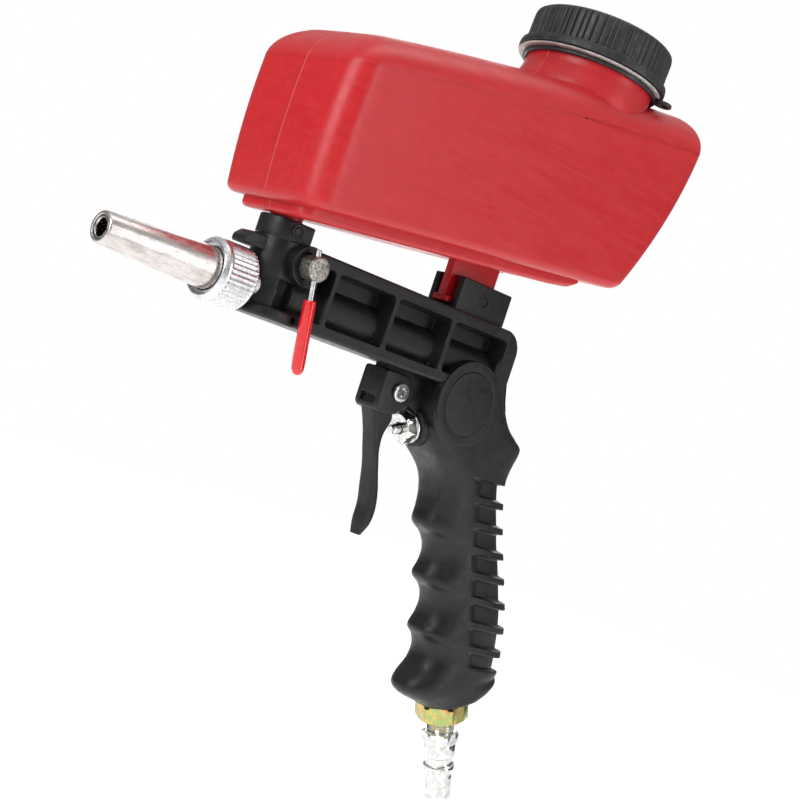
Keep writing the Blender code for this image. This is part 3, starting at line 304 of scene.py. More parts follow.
def barrel_side(x, z):
    """Half width of the beam: full at the rails and ribs, and down to the web or the air tube in a pocket."""
    pockets = [(-6.0, 16.05, POCKET_LOW, 4.9, 1.2), (9.0, 16.05, POCKET_LOW, POCKET_HIGH, 1.2)]
    ends = [RIBS[1] - 1.15, RIBS[2] - 1.15, POCKET_END]
    for rib, end in zip(RIBS, ends):
        pockets.append((rib + 1.15, end, POCKET_LOW, POCKET_HIGH, 1.6))
    distance = np.min([box_distance(x, z, *pocket) for pocket in pockets], axis=0)
    web = np.where(x < RIBS[0], FRONT_WEB, WEB)
    floor = np.maximum(web, np.sqrt(np.maximum(AIR_TUBE**2 - z**2, 0)))
    return BARREL["half"] - (BARREL["half"] - floor) * step(-distance, -0.15, 0.75)


def barrel():
    """The beam: sides, top and bottom carried along X. Its top falls in a round corner behind."""
    half, top, bottom = BARREL["half"], BARREL["top"], BARREL["bottom"]
    edges = [9.0, *[rib + k for rib in RIBS for k in (-1.15, 1.15)], POCKET_END]
    x = stations(edges, BARREL["front"], BARREL["rear"] - 0.05, 1.3)
    z = stations([POCKET_LOW, POCKET_HIGH, 4.9, -9, 9], bottom + 1.3, top - 1.3, 0.8, 0.8, 7)
    t = np.linspace(0, math.pi / 2, 6)[:-1]
    z_side = np.concatenate([bottom + 1.3 * (1 - np.cos(t)), z, top - 1.3 * (1 - np.cos(t[::-1]))])
    inset = np.concatenate([1.3 * (1 - np.sin(t)), np.zeros(len(z)), 1.3 * (1 - np.sin(t[::-1]))])
    corner = 8.0
    past = np.clip(x - (BARREL["rear"] - corner), 0, corner)
    drop = corner - np.sqrt(np.maximum(corner**2 - past**2, 0))
    grid_x, grid_z = np.meshgrid(x, z_side, indexing="ij")
    wide = barrel_side(grid_x, grid_z) - inset
    grid_z = grid_z - drop[:, None] * step(grid_z, 9.0, top)
    near = np.stack([grid_x, -wide, grid_z], -1)
    far = np.stack([grid_x, wide, grid_z], -1)[:, ::-1]
    return shell(np.concatenate([near, far], axis=1))


def half_round(cx, radius, tail, steps=24):
    """A plan outline: a half circle in front, straight back to the tail."""
    t = np.linspace(math.pi / 2, 3 * math.pi / 2, steps)
    front = np.stack([cx + radius * np.cos(t), radius * np.sin(t)], 1)
    return np.concatenate([front, [[tail, -radius], [tail, radius]]])


def trimmed(outline, x_from, half):
    """A plan outline narrowed to this half width behind x_from."""
    front = outline[outline[:, 0] < x_from]
    tail = outline[:, 0].max()
    back = np.array([[x_from, -half], [tail, -half], [tail, half], [x_from, half]])
    return np.concatenate([front, back])


def socket_outline():
    """The rear socket in plan: a U that opens to the front."""
    points = [(84.4, -8.5), (114, -8.5), (114, 8.5), (84.4, 8.5)]
    points += [(84.4, 5.2), (111.6, 5.2), (111.6, -5.2), (84.4, -5.2)]
    return soften(points, 0.7, True, 3)


column = half_round(-4.5, 9.2, 6.0)
collar = half_round(-4.5, 9.5, 3.1)
lug = soften([(-9, 12.9), (-9, 18.2), (-19.6, 18.2), (-22.7, 15.6), (-22.7, 12.9)], 0.9, True)
tongue = [(64.2, -9), (64.0, -21), (66.5, -25), (71.6, -26.2), (77, -24.4), (81.6, -22.8)]
tongue += [(93, -27.4), (99, -30), (99, -9)]
cheek = [(87.2, -6), (86.6, -15), (88.6, -24), (94, -31), (103, -35), (117, -34), (124, -16), (122, -6)]
sweep = [(116, 14), (122.25, 9), (122.3, 4), (122.8, 0), (124.7, -6.5), (128.4, -13.6), (120, -16), (112, -9)]

moulding = [
    barrel(),
    plate(column, 4.9, 19.9, 0.6),
    plate(trimmed(column, -5.4, 6.0), -6.2, 5.4, 0.3),
    plate(half_round(-1.5, 13.0, 4.0, 32), -10.3, -5.8, 1.2),
    plate(soften(collar, 0.5, True, 1), 19.0, 26.7, 0.7),
    plate(lug, -4.0, 4.0, 0.7, "y"),
    plate(socket_outline(), 18.6, 33.0, 0.6),
    plate([(85, -5.6), (112, -5.6), (112, 5.6), (85, 5.6)], 18.2, 21.0, 0.3),
    plate(soften(tongue, 1.5, True), -3.8, 3.8, 0.6, "y"),
    plate(soften(sweep, 2.0, True), -12.85, 12.85, 1.3, "y"),
    plate(soften(cheek, 4.0, True, 5), -13.25, 13.25, 2.2, "y", 7),
]
for side in (-1, 1):
    ring = [(9, 7.6), (13.6, 7.6), (13.6, 6.3), (13.2, 6.3), (13.2, 5.2), (9, 5.2)]
    ring = [(side * y, radius) for y, radius in ring]
    moulding.append(lathe(soften(ring, 0.3, True), "y", (2.0, 0, 12.5), 72, closed=True))
    disc = [(8, 17.4), (13.6, 17.4), (13.6, 13.55), (13.1, 13.4), (13.1, 13.0), (13.6, 12.85), (13.75, 0.3)]
    disc = [(side * y, radius) for y, radius in disc]
    moulding.append(lathe([(side * 8, 0.3), *soften(disc, 0.35).tolist()], "y", (104.2, 0, -14.5), 120))


def grip_front(down):
    """Front of the grip: thick at the valve, then crests and finger grooves, then the butt's lip."""
    keys = [(-2, -18), (12, -21), (25, -24), (32, -21), (38, -17), (42.3, -14.7), (52.3, -14.3), (58, -16.4)]
    keys += [(64, -18.9), (70, -14.6), (76, -12.9), (82, -14.3), (87, -17.6), (93.5, -13.4), (100, -12.1)]
    keys += [(105.5, -13.9), (110.7, -17.6), (115.5, -15), (120, -14.4), (126, -17.6), (131, -23.8)]
    keys += [(134.5, -26.0), (138, -24), (142, -18.5), (146, -12)]
    return curve(keys, down)


def grip_back(down):
    """Back of the grip over its fins, with the web of the hand's hump at the top."""
    keys = [(-1, 19), (5.5, 17), (13.6, 16.5), (22, 18), (29, 21.2), (34, 25.3), (38.3, 28.4), (41, 27.6)]
    keys += [(44.5, 25.4), (50, 23), (62, 23.1), (74.1, 25.3), (85.1, 27.1), (96.7, 28.7), (108.3, 29.9)]
    keys += [(119.2, 29.6), (129.6, 28.6), (139.2, 26.5), (143.5, 24.6), (145.2, 19.5), (146.2, 12)]
    return curve(keys, down)


def meeting(outline, down, tilt):
    """Where a sloping plane across the grip meets an outline, found by going round until it settles."""
    x = outline(down)
    for _ in range(12):
        x = outline(down + x * math.tan(RAKE) * tilt)
    return x


def grip():
    """Level sections down the grip. Each is an oval with squarish corners. Level slots leave the fins
    standing, and the sections turn square to the grip at its butt."""
    down = np.concatenate([np.arange(9.0, 128.4, 0.42), 128.4 + 17.0 * np.linspace(0.03, 1, 30) ** 0.9])
    tilt = 1 - step(down, 126.0, 143.0)
    level = down * math.cos(RAKE)
    first, pitch, thick = 50.3, 10.2, 2.9
    beat = np.mod(level - first + thick / 2, pitch)
    slot_share = step(beat, thick - 0.25, thick + 0.55) * (1 - step(beat, pitch - 0.55, pitch + 0.25))
    slot_share *= step(level, first - pitch + thick / 2, first - pitch + thick / 2 + 0.8)
    slot_share *= 1 - step(level, 118.4, 119.2)
    front, back = meeting(grip_front, down, tilt), meeting(grip_back, down, tilt)
    middle, half = ((front + back) / 2)[:, None], ((back - front) / 2)[:, None]
    square = curve([(0, 7.0), (30, 6.0), (48, 3.6), (60, 2.8), (127, 2.5), (146, 2.4)], down)[:, None]
    t = np.linspace(0, 2 * math.pi, 168, endpoint=False)[None]
    c, s = np.cos(t), np.sin(t)
    reach = np.sign(c) * np.abs(c) ** (2 / square)
    drawn = 2.7 * slot_share[:, None] * step(middle + half * reach, 0.5, 5.5)
    x = middle + (half - drawn) * reach
    place = down[:, None] + x * math.tan(RAKE) * tilt[:, None]
    widths = [(-10, 13.2), (42, 13.2), (52, 12.9), (75, 13.1), (105, 14.0), (135, 13.6), (160, 12.4)]
    groove = 0.5 * (1 - np.cos(2 * math.pi * (place - 64) / 23.3))
    groove = groove * step(place, 60, 68) * (1 - step(place, 108, 114))
    wide = curve(widths, place) - 0.9 * groove * step(-reach, -0.25, 0.55)
    y = (wide - drawn) * np.sign(s) * np.abs(s) ** (2 / square)
    grid = np.stack([x, y, -place], -1)
    shrink = np.array([0.97, 0.9, 0.78, 0.62])[:, None, None]
    foot = grid[-1][None] * np.concatenate([shrink, shrink, np.ones((4, 1, 1))], -1)
    foot[..., 2] = grid[-1][None, :, 2] - np.array([0.6, 1.1, 1.5, 1.7])[:, None]
    return shell(raked(np.concatenate([grid, foot])))


boss = soften([(-8, 8.6), (-26.4, 8.6), (-26.4, 6.0)], 0.8)
valve_boss = lathe([(-8, 0.3), *boss.tolist(), (-26.3, 0.3)], "x", (0, 0, -22.4), 64, local=raked)
piece("body_barrel", moulding, black_nylon, "gun", ["gun_body"])
piece("body_grip", [grip(), valve_boss], black_nylon, "gun", ["gun_body"], 50.0)


# Set screws ---------------------------------------------------------------------------------------
# Two blackened socket screws in the near side, one that clamps the hopper's spout in the collar and one that
# clamps its tab in the rear socket. Only their recessed ends show.


blackened_steel = finish("blackened steel, oiled", two_tone(0.6, "#161617", "#3a3a3c"), 0.42, 1.0)


def hexagon_radius(turn, flats):
    """Radius of a hexagon, this far across its flats, at each angle round it."""
    to_flat = np.mod(turn + math.pi / 6, math.pi / 3) - math.pi / 6
    return flats / 2 / np.cos(to_flat)


def rings_across(at, turn, radii, places):
    """Rings about a line across the gun, each with its radius at each angle and its place on that line."""
    rings = []
    for radius, y in zip(radii, places):
        rings.append([at[0] + radius * np.cos(turn), np.full(len(turn), y), at[1] + radius * np.sin(turn)])
    return shell(np.stack(rings).transpose(0, 2, 1))


def socket_head(at, face, radius, depth, flats):
    """A headless screw's end: a ring around a hexagonal hole that goes in this deep."""
    t = np.linspace(0, 2 * math.pi, 48, endpoint=False)
    hexagon = hexagon_radius(t, flats)
    radii = [radius, radius, radius - 0.25, hexagon * 1.05, hexagon, hexagon]
    places = [face + 3.0, face + 0.2, face, face, face + 0.15, face + depth]
    return rings_across(at, t, radii, places)


def screw_seat(at, face, radius):
    """The moulded rim around a screw's hole."""
    inner, outer, low, high = radius + 0.1, radius + 0.9, face - 0.12, face + 1.5
    rim = [(high, outer), (low, outer), (low, inner), (high, inner)]
    return lathe(soften(rim, 0.15, True), "y", (at[0], 0, at[1]), 48, closed=True)


for name, at, face in (("front_set_screw", (-4.5, 23.2), -9.62), ("rear_set_screw", (99.2, 26.6), -8.62)):
    piece(name + "_end", [socket_head(at, face, 2.0, 1.5, 2.4)], blackened_steel, "gun", [name])
    piece(name + "_seat", [screw_seat(at, face, 2.0)], black_nylon, "gun", [])


# Hopper -------------------------------------------------------------------------------------------
# A red polyethylene tank, blow moulded in one piece: rounded walls, a keel step under it, a neck on its
# sloping top, a spout in front and a pinched tab behind. A thin pale line shows where the mould closed.

NECK = {"x": 124.4, "lean": math.radians(4.3)}


def hopper_low(x):
    """Height of the tank's base, a straight slope."""
    return 33.1 + 0.115 * x


def hopper_high(x):
    """Height of the tank's top, a slope that eases off to the back."""
    return 100.2 + 0.232 * x - 0.0003 * x * x


def hopper_ring(share, shrink, radius=10.0):
    """One level of the tank: a rectangle with round corners in plan, its height a share of the way from the
    sloping base to the sloping top. The back leans out as it rises and every wall bellies a little."""
    front = -18.0 - 2.0 * 4 * share * (1 - share) + shrink
    back = 156.0 + 23.5 * (1 - (1 - share) ** 2) - shrink
    half = 29.0 + 2.0 * share - shrink
    corner = max(radius - shrink * 0.55, 1.2)
    corner = min(corner, half * 0.95)
    quarter = np.linspace(0, math.pi / 2, 11)
    rows = []
    signs = ((1, 1), (-1, 1), (-1, -1), (1, -1))
    for k, (sx, sy) in enumerate(signs):
        cx = back - corner if sx > 0 else front + corner
        cy = sy * (half - corner)
        a = quarter + k * math.pi / 2
        rows.append(np.stack([cx + corner * np.cos(a), cy + corner * np.sin(a)], 1))
    plan = []
    for k, row in enumerate(rows):
        after = rows[(k + 1) % 4][0]
        count = 44 if k % 2 == 0 else 26
        fill = row[-1] + (after - row[-1]) * (np.arange(1, count) / count)[:, None]
        plan += [row, fill]
    plan = np.concatenate(plan)
    x, y = plan[:, 0], plan[:, 1]
    along = np.clip((x - front) / (back - front), 0, 1)
    belly = 0.7 * math.sin(math.pi * min(max(share, 0), 1)) * np.sin(math.pi * along)
    y = y * (1 + belly / 30)
    low, high = hopper_low(x), hopper_high(x)
    crown = 0.5 * (1 - np.clip(np.abs(y) / 31, 0, 1) ** 2) * step(np.array(share), 0.98, 1.0)
    return np.stack([x, y, low + (high - low) * share + crown], 1)


def tank():
    """Rings from the middle of the base, out round its edge, up the walls, and in again over the top."""
    tall = 68.0
    rings = [(0.0, s) for s in (27.5, 20.0, 10.0, 5.0)]
    t = np.linspace(0, math.pi / 2, 7)
    rings += [((1 - math.cos(a)) * 3.2 / tall, 3.2 * (1 - math.sin(a))) for a in t]
    rings += [(s, 0.0) for s in np.linspace(0.08, 0.83, 26)]
    t = np.linspace(0, math.pi / 2, 15)
    rings += [(1 - (1 - math.sin(a)) * 12.5 / tall, 14.5 * (1 - math.cos(a))) for a in t]
    rings += [(1.0, s) for s in (16.5, 18.5, 21.0, 24.0, 27.5, 29.8)]
    return shell(np.stack([hopper_ring(share, shrink) for share, shrink in rings]))


def keel():
    """The step under the tank: a rounded strip that follows the base and turns up behind."""
    outline = soften([(-14, -20), (140, -20), (140, 20), (-14, 20)], 7.0, True, 9)
    sides = zip(outline, np.roll(outline, -1, 0))
    long = np.concatenate([np.linspace(a, b, 12, endpoint=False) for a, b in sides])
    t = np.linspace(0, math.pi / 2, 7)
    rows = [long[None]]
    middle = np.array([63.0, 0.0])
    levels = [2.0]
    for a in t:
        inward = 2.0 * (1 - math.cos(a))
        rows.append((middle + (long - middle) * np.array([1 - inward / 77, 1 - inward / 20]))[None])
        levels.append(-2.4 - 2.0 * math.sin(a))
    plan = np.concatenate(rows)
    x = plan[..., 0]
    drop = np.array(levels)[:, None] * (1 - 0.75 * step(x, 128, 141) * (np.array(levels)[:, None] < 0))
    return shell(np.stack([x, plan[..., 1], hopper_low(x) + drop], -1))


def on_neck(points):
    """Turns points of the neck's own frame, whose Z is its axis, to the barrel's."""
    c, s = math.cos(NECK["lean"]), math.sin(NECK["lean"])
    x, y, z = points[..., 0], points[..., 1], points[..., 2]
    return np.stack([NECK["x"] + x * c + z * s, y, hopper_high(NECK["x"]) - x * s + z * c], -1)


def neck_foot(turn, along, radius):
    """The neck flares where it meets the tank, most in front, where the top slopes away below it."""
    return 2.6 * (1 - step(along, -6.0, 5.0)) * (0.45 - 0.55 * np.cos(turn))


neck_line = [(z, 27.5) for z in (-14, -6, -3, 0, 3, 6, 22.6)] + [(z, 25.2) for z in (22.6, -9, -14)]
neck_line = soften(neck_line, 0.5, True)
spout_line = soften([(20.2, 4.5), (20.2, 6.2), (33, 6.2), (33, 4.5)], 0.4, True)
tab = soften([(82.4, 21.9), (109.2, 21.9), (109.2, 47), (82.4, 44)], 1.2, True)
tab_foot = [(82.4, -4.3), (90.4, -4.3), (96, -2.0), (109.2, -2.0), (109.2, 2.0), (96, 2.0), (90.4, 4.3)]
tab_foot = soften([*tab_foot, (82.4, 4.3)], 1.0, True)


def hopper_colour(tree):
    """Deep red with slow streaks from the blown tube, pale scuffs, and the pale line left by the mould."""
    streak = noise(tree, surface_place(tree, (60.0, 3.0, 2.0)), 1.0, 3.0)
    mottle = noise(tree, surface_place(tree), 5.0, 5.0)
    speck = noise(tree, surface_place(tree), 0.45, 2.0)
    base = between(tree, spread(tree, mottle, 0.0, 1.0), "#b5161d", "#bb191f")
    base = between(tree, spread(tree, streak, 0.0, 0.4, 0.45, 0.75), base, "#c4252a")
    base = between(tree, spread(tree, speck, 0.0, 0.45, 0.62, 0.78), base, "#d2474b")
    return between(tree, seam(tree, 0.15, 0.4, 0.45), base, "#d9585b")


def seam(tree, inner, outer, most=1.0):
    """A mask of the line where the two halves of the mould met, at the middle of the gun."""
    place = add(tree, "TexCoord").outputs["Object"]
    across = add(tree, "SeparateXYZ", {"Vector": place}).outputs["Y"]
    away = add(tree, "Math", {0: across}, operation="ABSOLUTE").outputs[0]
    return spread(tree, away, most, 0.0, inner / 1000, outer / 1000)


def hopper_grain(tree):
    """Slow sinks in the wall, fine flow lines, a pitted skin, and the raised line of the mould."""
    sink = bumped(tree, noise(tree, surface_place(tree), 30.0, 1.0), 0.9, 0.3)
    flow = bumped(tree, noise(tree, surface_place(tree, (40.0, 3.0, 1.6)), 1.0, 3.0), 0.03, 0.4, sink)
    skin = bumped(tree, noise(tree, surface_place(tree), 0.4, 3.0), 0.03, 0.5, flow)
    return bumped(tree, seam(tree, 0.1, 0.55), 0.3, 0.8, skin)


hopper_gloss = clouds(1.0, 0.34, 0.44, 4.0, (24.0, 9.0, 3.0))
red_polyethylene = finish(
    "red polyethylene, blow moulded", hopper_colour, hopper_gloss, 0.0, hopper_grain,
    Subsurface_Weight=0.08, Subsurface_Scale=0.004, Subsurface_Radius=(1.0, 0.25, 0.2),
)
hopper_shells = [
    tank(),
    keel(),
    lathe(neck_line, "z", steps=144, wave=neck_foot, closed=True, local=on_neck),
    lathe(spout_line, "z", (-4.5, 0, 0), 64, closed=True),
    plate(tab, -2.0, 2.0, 0.7, "y"),
    plate(tab_foot, 21.4, 24.0, 0.5),
]
piece("hopper_tank", hopper_shells, red_polyethylene, "gun", ["hopper"], 60.0)


# Cap, its lip and its tether ----------------------------------------------------------------------
# A black screw cap with a ribbed skirt and a plain flange below, a soft milky lip that shows under the
# flange, a sealing disc inside, and a black strap ring around the neck with an eye at the back.

CAP = {"low": 9.0, "top": 26.6, "ribbed": 30.2, "flange": 32.3, "bore": 27.85}
rib_random = np.random.default_rng(5)
rib_edges = np.cumsum(rib_random.uniform(0.75, 1.45, 60))
rib_edges = np.concatenate([[0.0], rib_edges / rib_edges[-1] * 2 * math.pi])
rib_depth = rib_random.uniform(0.35, 0.85, 60)


def cap_ribs(turn, along, radius):
    """Upright ribs of uneven width between the flange and the top: each is a low arch with a groove."""
    turn = np.broadcast_to(turn, radius.shape)
    k = np.clip(np.searchsorted(rib_edges, turn, side="right") - 1, 0, 59)
    share = (turn - rib_edges[k]) / (rib_edges[k + 1] - rib_edges[k])
    arch = np.abs(2 * share - 1) ** 6
    there = step(along, CAP["low"] + 3.4, CAP["low"] + 4.2)
    there = there * (1 - step(along, CAP["top"] - 2.2, CAP["top"] - 0.8))
    outside = radius > CAP["bore"] + 1.0
    return -rib_depth[k] * arch * there * outside


skirt = [(CAP["low"], CAP["bore"]), (CAP["low"], CAP["flange"] - 0.1), (CAP["low"] + 1.5, CAP["flange"])]
skirt += [(CAP["low"] + 3.4, CAP["flange"] - 0.3), (CAP["low"] + 3.9, CAP["ribbed"])]
skirt += [(z, CAP["ribbed"] + 0.1) for z in np.linspace(CAP["low"] + 4.3, CAP["top"] - 2.6, 8)]
skirt += [(CAP["top"] - 1.1, CAP["ribbed"] - 0.25), (CAP["top"] - 0.2, CAP["ribbed"] - 1.5)]
skirt += [(CAP["top"], 27.0), (CAP["top"] - 0.7, 26.0), (CAP["top"] - 0.8, 14.0), (CAP["top"] - 0.8, 0.3)]
inside = [(CAP["top"] - 2.0, 0.3), (CAP["top"] - 2.0, CAP["bore"])]


def cap_colour(tree):
    """Black with grey scuffs where fingers turn it."""
    scuff = noise(tree, surface_place(tree, (3.0, 3.0, 9.0)), 1.0, 5.0)
    return between(tree, spread(tree, scuff, 0.0, 1.0, 0.45, 0.75), "#1c1d1e", "#343536")


def cap_grain(tree):
    """A fine pitted skin."""
    return bumped(tree, noise(tree, surface_place(tree), 0.3, 3.0), 0.03, 0.7)


cap_plastic = finish("black polypropylene, scuffed", cap_colour, clouds(2.0, 0.38, 0.55), 0.0, cap_grain)
skirt = soften([*inside[::-1], *skirt], 0.3)
cap_shell = lathe(skirt, "z", steps=960, wave=cap_ribs, closed=True, local=on_neck)
piece("cap", [cap_shell], cap_plastic, "cap", ["hopper_cap"], 34.0)


milky = finish(
    "milky soft vinyl", two_tone(3.0, "#a9a6a4", "#c9c6c3"), 0.35, 0.0, None,
    Subsurface_Weight=0.3, Subsurface_Scale=0.003, Transmission_Weight=0.15,
)
lip_line = soften([(7.9, 27.8), (7.9, 30.7), (8.3, 31.0), (8.7, 30.7), (8.7, 27.8)], 0.2, True)


def lip_wave(turn, along, radius):
    """The soft lip isn't cut true, so it stands out further on one side."""
    return (0.45 - 0.55 * np.cos(turn + 0.4)) * (radius > 30)


lip = lathe(lip_line, "z", steps=144, wave=lip_wave, closed=True, local=on_neck)
piece("neck_lip_ring", [lip], milky, "gun", ["neck_lip"], 50.0)
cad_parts["cap_seal"].material_slots[0].material = milky

strap_line = soften([(6.1, 27.8), (6.1, 29.5), (7.6, 29.5), (7.6, 27.8)], 0.35, True)
eye_line = soften([(6.15, 1.8), (6.15, 4.0), (7.55, 4.0), (7.55, 1.8)], 0.4, True)
eye_turn = math.radians(-50)
eye_at = (32.7 * math.cos(eye_turn), 32.7 * math.sin(eye_turn), 0)
strap = [
    lathe(strap_line, "z", steps=120, closed=True, local=on_neck),
    lathe(eye_line, "z", eye_at, 40, closed=True, local=on_neck),
]
piece("tether", strap, cap_plastic, "gun", ["tether_ring"], 45.0)


# Nozzle -------------------------------------------------------------------------------------------
# A turned steel tube that tapers to its muzzle, with a hard bright liner in its bore. The knurled
# aluminium nut screws on the body's thread bush and pulls the tube's collar on to its seal.

MUZZLE, NUT_FRONT, NUT_BACK = -79.6, -32.4, -16.3


def turned_marks(tree, axis, size=0.12, depth=0.012, under=None):
    """The fine rings a lathe tool leaves: noise squeezed along the piece and stretched around it."""
    stretch = [60.0, 60.0, 60.0]
    stretch[axis] = 1.0
    return bumped(tree, noise(tree, surface_place(tree, stretch), size, 2.0), depth, 0.7, under)


def nozzle_colour(tree):
    """Bright steel, dulled to warm grey in a grainy band where the blast has spattered it."""
    grime = noise(tree, surface_place(tree, (3.0, 1.0, 1.0)), 2.4, 6.0, 0.65)
    fine = noise(tree, surface_place(tree), 0.35, 3.0)
    base = between(tree, spread(tree, grime, 0.0, 0.8, 0.4, 0.75), "#cfc9c6", "#9a928d")
    return between(tree, spread(tree, fine, 0.0, 0.35, 0.52, 0.78), base, "#6e6763")


def nozzle_grain(tree):
    """Lathe rings over a faint pitting."""
    pitting = bumped(tree, noise(tree, surface_place(tree), 0.5, 3.0), 0.006, 0.5)
    return turned_marks(tree, 0, 0.14, 0.008, pitting)


nozzle_gloss = clouds(1.2, 0.24, 0.36, 5.0, (4.0, 1.0, 1.0))
bright_steel = finish("turned steel, blast dulled", nozzle_colour, nozzle_gloss, 1.0, nozzle_grain)
tube_line = [(MUZZLE + 0.5, 4.35), (MUZZLE, 4.55), (MUZZLE, 5.35), (MUZZLE + 0.55, 5.9)]
tube_line += [(-56, 6.95), (-40, 7.7), (-33.5, 8.0), (-29.6, 8.0), (-29.6, 8.9), (-27.7, 8.9), (-27.7, 4.35)]
tube_shell = lathe(soften(tube_line, 0.25, True), "x", steps=128, closed=True)
piece("nozzle_barrel", [tube_shell], bright_steel, "nozzle", ["nozzle_tube"])


liner_metal = finish("hard bright liner", two_tone(0.5, "#d8d6d4", "#a7a3a0"), 0.16, 1.0)
liner_line = [(MUZZLE + 0.35, 3.45), (MUZZLE + 0.35, 4.1), (-28, 4.1), (-28, 3.2), (MUZZLE + 0.9, 3.2)]
liner = lathe(soften(liner_line, 0.12, True), "x", steps=96, closed=True)
piece("nozzle_bore", [liner], liner_metal, "nozzle", ["nozzle_liner"])


def serrations(turn, along, radius):
    """Straight serrations round the nut: a row of sharp teeth that fade at both chamfers."""
    tooth = np.abs(np.mod(turn * 38 / math.pi, 2) - 1)
    there = step(along, NUT_FRONT + 2.6, NUT_FRONT + 3.6) * (1 - step(along, NUT_BACK - 1.6, NUT_BACK - 0.9))
    return -0.62 * (1 - tooth) * there * (radius > 10.5)


def nut_grain(tree):
    """Lathe rings about the barrel."""
    return turned_marks(tree, 0, 0.2, 0.008)


nut_colour = two_tone(1.2, "#dededf", "#c6c6c9", 5.0)
aluminium = finish("turned aluminium, knurled", nut_colour, clouds(0.8, 0.24, 0.42), 1.0, nut_grain)
nut_line = [(NUT_FRONT + 2.4, 8.4), (NUT_FRONT + 1.3, 8.4), (NUT_FRONT + 1.3, 9.5), (NUT_FRONT + 0.7, 9.8)]
nut_line += [(NUT_FRONT, 10.0), (NUT_FRONT, 10.5), (NUT_FRONT + 1.6, 11.75), (NUT_FRONT + 2.4, 11.85)]
nut_line += [(x, 11.9) for x in np.linspace(NUT_FRONT + 2.7, NUT_BACK - 1.0, 12)]
nut_line += [(NUT_BACK - 0.7, 11.7), (NUT_BACK, 10.9), (NUT_BACK, 9.6), (NUT_FRONT + 2.6, 9.55)]
nut_shell = lathe(soften(nut_line, 0.12, True, 2), "x", steps=760, wave=serrations, closed=True)
piece("knurled_nut", [nut_shell], aluminium, "nut", ["nozzle_nut"], 30.0)


# Media valve --------------------------------------------------------------------------------------
# A sawn steel spindle across the column, a bright wire through its near end, and a dipped red vinyl
# sleeve on the wire. A blackened clip holds the spindle at its far end.

SPINDLE = {"x": 2.0, "z": 12.5, "radius": 4.75, "near": -20.0, "far": 16.4}
LEAN = math.radians(10.4)


def sawn_colour(tree):
    """Grey steel, mottled and crossed by saw marks."""
    blot = noise(tree, surface_place(tree), 1.1, 6.0, 0.75)
    return between(tree, spread(tree, blot, 0, 1), "#b9b5ae", "#635e58")


def sawn_grain(tree):
    """Saw marks in long, slanting streaks, over a faint pitting."""
    streaks = surface_place(tree, (14.0, 14.0, 1.0), (0, 0.6, 0))
    saw = bumped(tree, noise(tree, streaks, 0.25, 2.0), 0.02, 0.6)
    return bumped(tree, noise(tree, surface_place(tree), 0.6, 4.0), 0.02, 0.5, saw)


sawn_steel = finish("sawn steel, mottled", sawn_colour, clouds(0.7, 0.28, 0.55), 1.0, sawn_grain)
near, far, radius = SPINDLE["near"], SPINDLE["far"], SPINDLE["radius"]
spindle_line = [(near, 0.3), (near, 4.2), (near + 0.5, radius), (13.8, radius), (13.95, 3.4), (15.0, 3.4)]
spindle_line += [(15.1, 4.2), (16.0, 4.2), (far, 3.9), (far, 0.3)]
axis_at = (SPINDLE["x"], 0, SPINDLE["z"])
spindle_shell = lathe(soften(spindle_line, 0.12), "y", axis_at, 96)
piece("valve_spindle", [spindle_shell], sawn_steel, "media_valve", ["media_spindle"])
seals = ["spindle_seal_near", "spindle_seal_far", "nozzle_seal", "jet_seal", "stem_seal", "inlet_seal"]
for name in (*seals, "poppet"):
    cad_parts[name].material_slots[0].material = cap_plastic
for name in ("spindle_clip", "valve_spring"):
    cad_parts[name].material_slots[0].material = blackened_steel


def along_lever(points):
    """Turns points whose Z runs down the lever's wire to the barrel's frame, through the spindle."""
    c, s = math.cos(LEAN), math.sin(LEAN)
    x, y, z = points[..., 0], points[..., 1], points[..., 2]
    return np.stack([SPINDLE["x"] + x * c + z * s, y - 17.4, SPINDLE["z"] + x * s - z * c], -1)


def plated_grain(tree):
    """A slow, very shallow unevenness under the plate."""
    return bumped(tree, noise(tree, surface_place(tree), 1.2, 2.0), 0.004, 0.4)


plated_colour = two_tone(2.0, "#e4e3e1", "#c2c0be", 5.0)
chrome = finish("nickel-chrome plate", plated_colour, clouds(1.3, 0.1, 0.18, 3.0), 1.0, plated_grain)
wire_line = [(-7.0, 0.2), (-7.0, 0.9), (-6.7, 1.2), (33.0, 1.2), (33.3, 0.2)]
wire = lathe(wire_line, "z", steps=32, local=along_lever)
piece("lever_wire", [wire], chrome, "media_valve", ["lever_rod"])


def vinyl_grain(tree):
    """Slow sags along the sleeve, left as the dipped vinyl set."""
    return bumped(tree, noise(tree, surface_place(tree, (1.0, 1.0, 4.0)), 2.4, 1.0), 0.04, 0.3)


red_vinyl = finish(
    "dipped red vinyl, glossy", two_tone(1.5, "#c8161a", "#d81e20"), 0.14, 0.0, vinyl_grain,
    Coat_Weight=0.4, Coat_Roughness=0.06,
)
sleeve_line = [(12.0, 1.45), (11.6, 1.7), (11.7, 2.15), (12.6, 2.35), (20, 2.45), (34, 2.5), (37.4, 2.35)]
sleeve_line += [(38.8, 1.6), (39.35, 0.7), (39.4, 0.15)]


def sleeve_wave(turn, along, radius):
    """Dipping leaves the wall a little thicker on one side and at the end."""
    return 0.08 * np.cos(turn + along * 0.15) * (radius > 1.8)


sleeve_line = [(12.0, 0.15), *soften(sleeve_line, 0.6).tolist()]
sleeve = lathe(sleeve_line, "z", steps=48, wave=sleeve_wave, local=along_lever)
piece("lever_grip", [sleeve], red_vinyl, "media_valve", ["lever_sleeve"], 60.0)


# Trigger ------------------------------------------------------------------------------------------
# A black nylon lever with two ears around the body's tongue. It turns on a steel pin with a socket head,
# held by a nut on the far side.

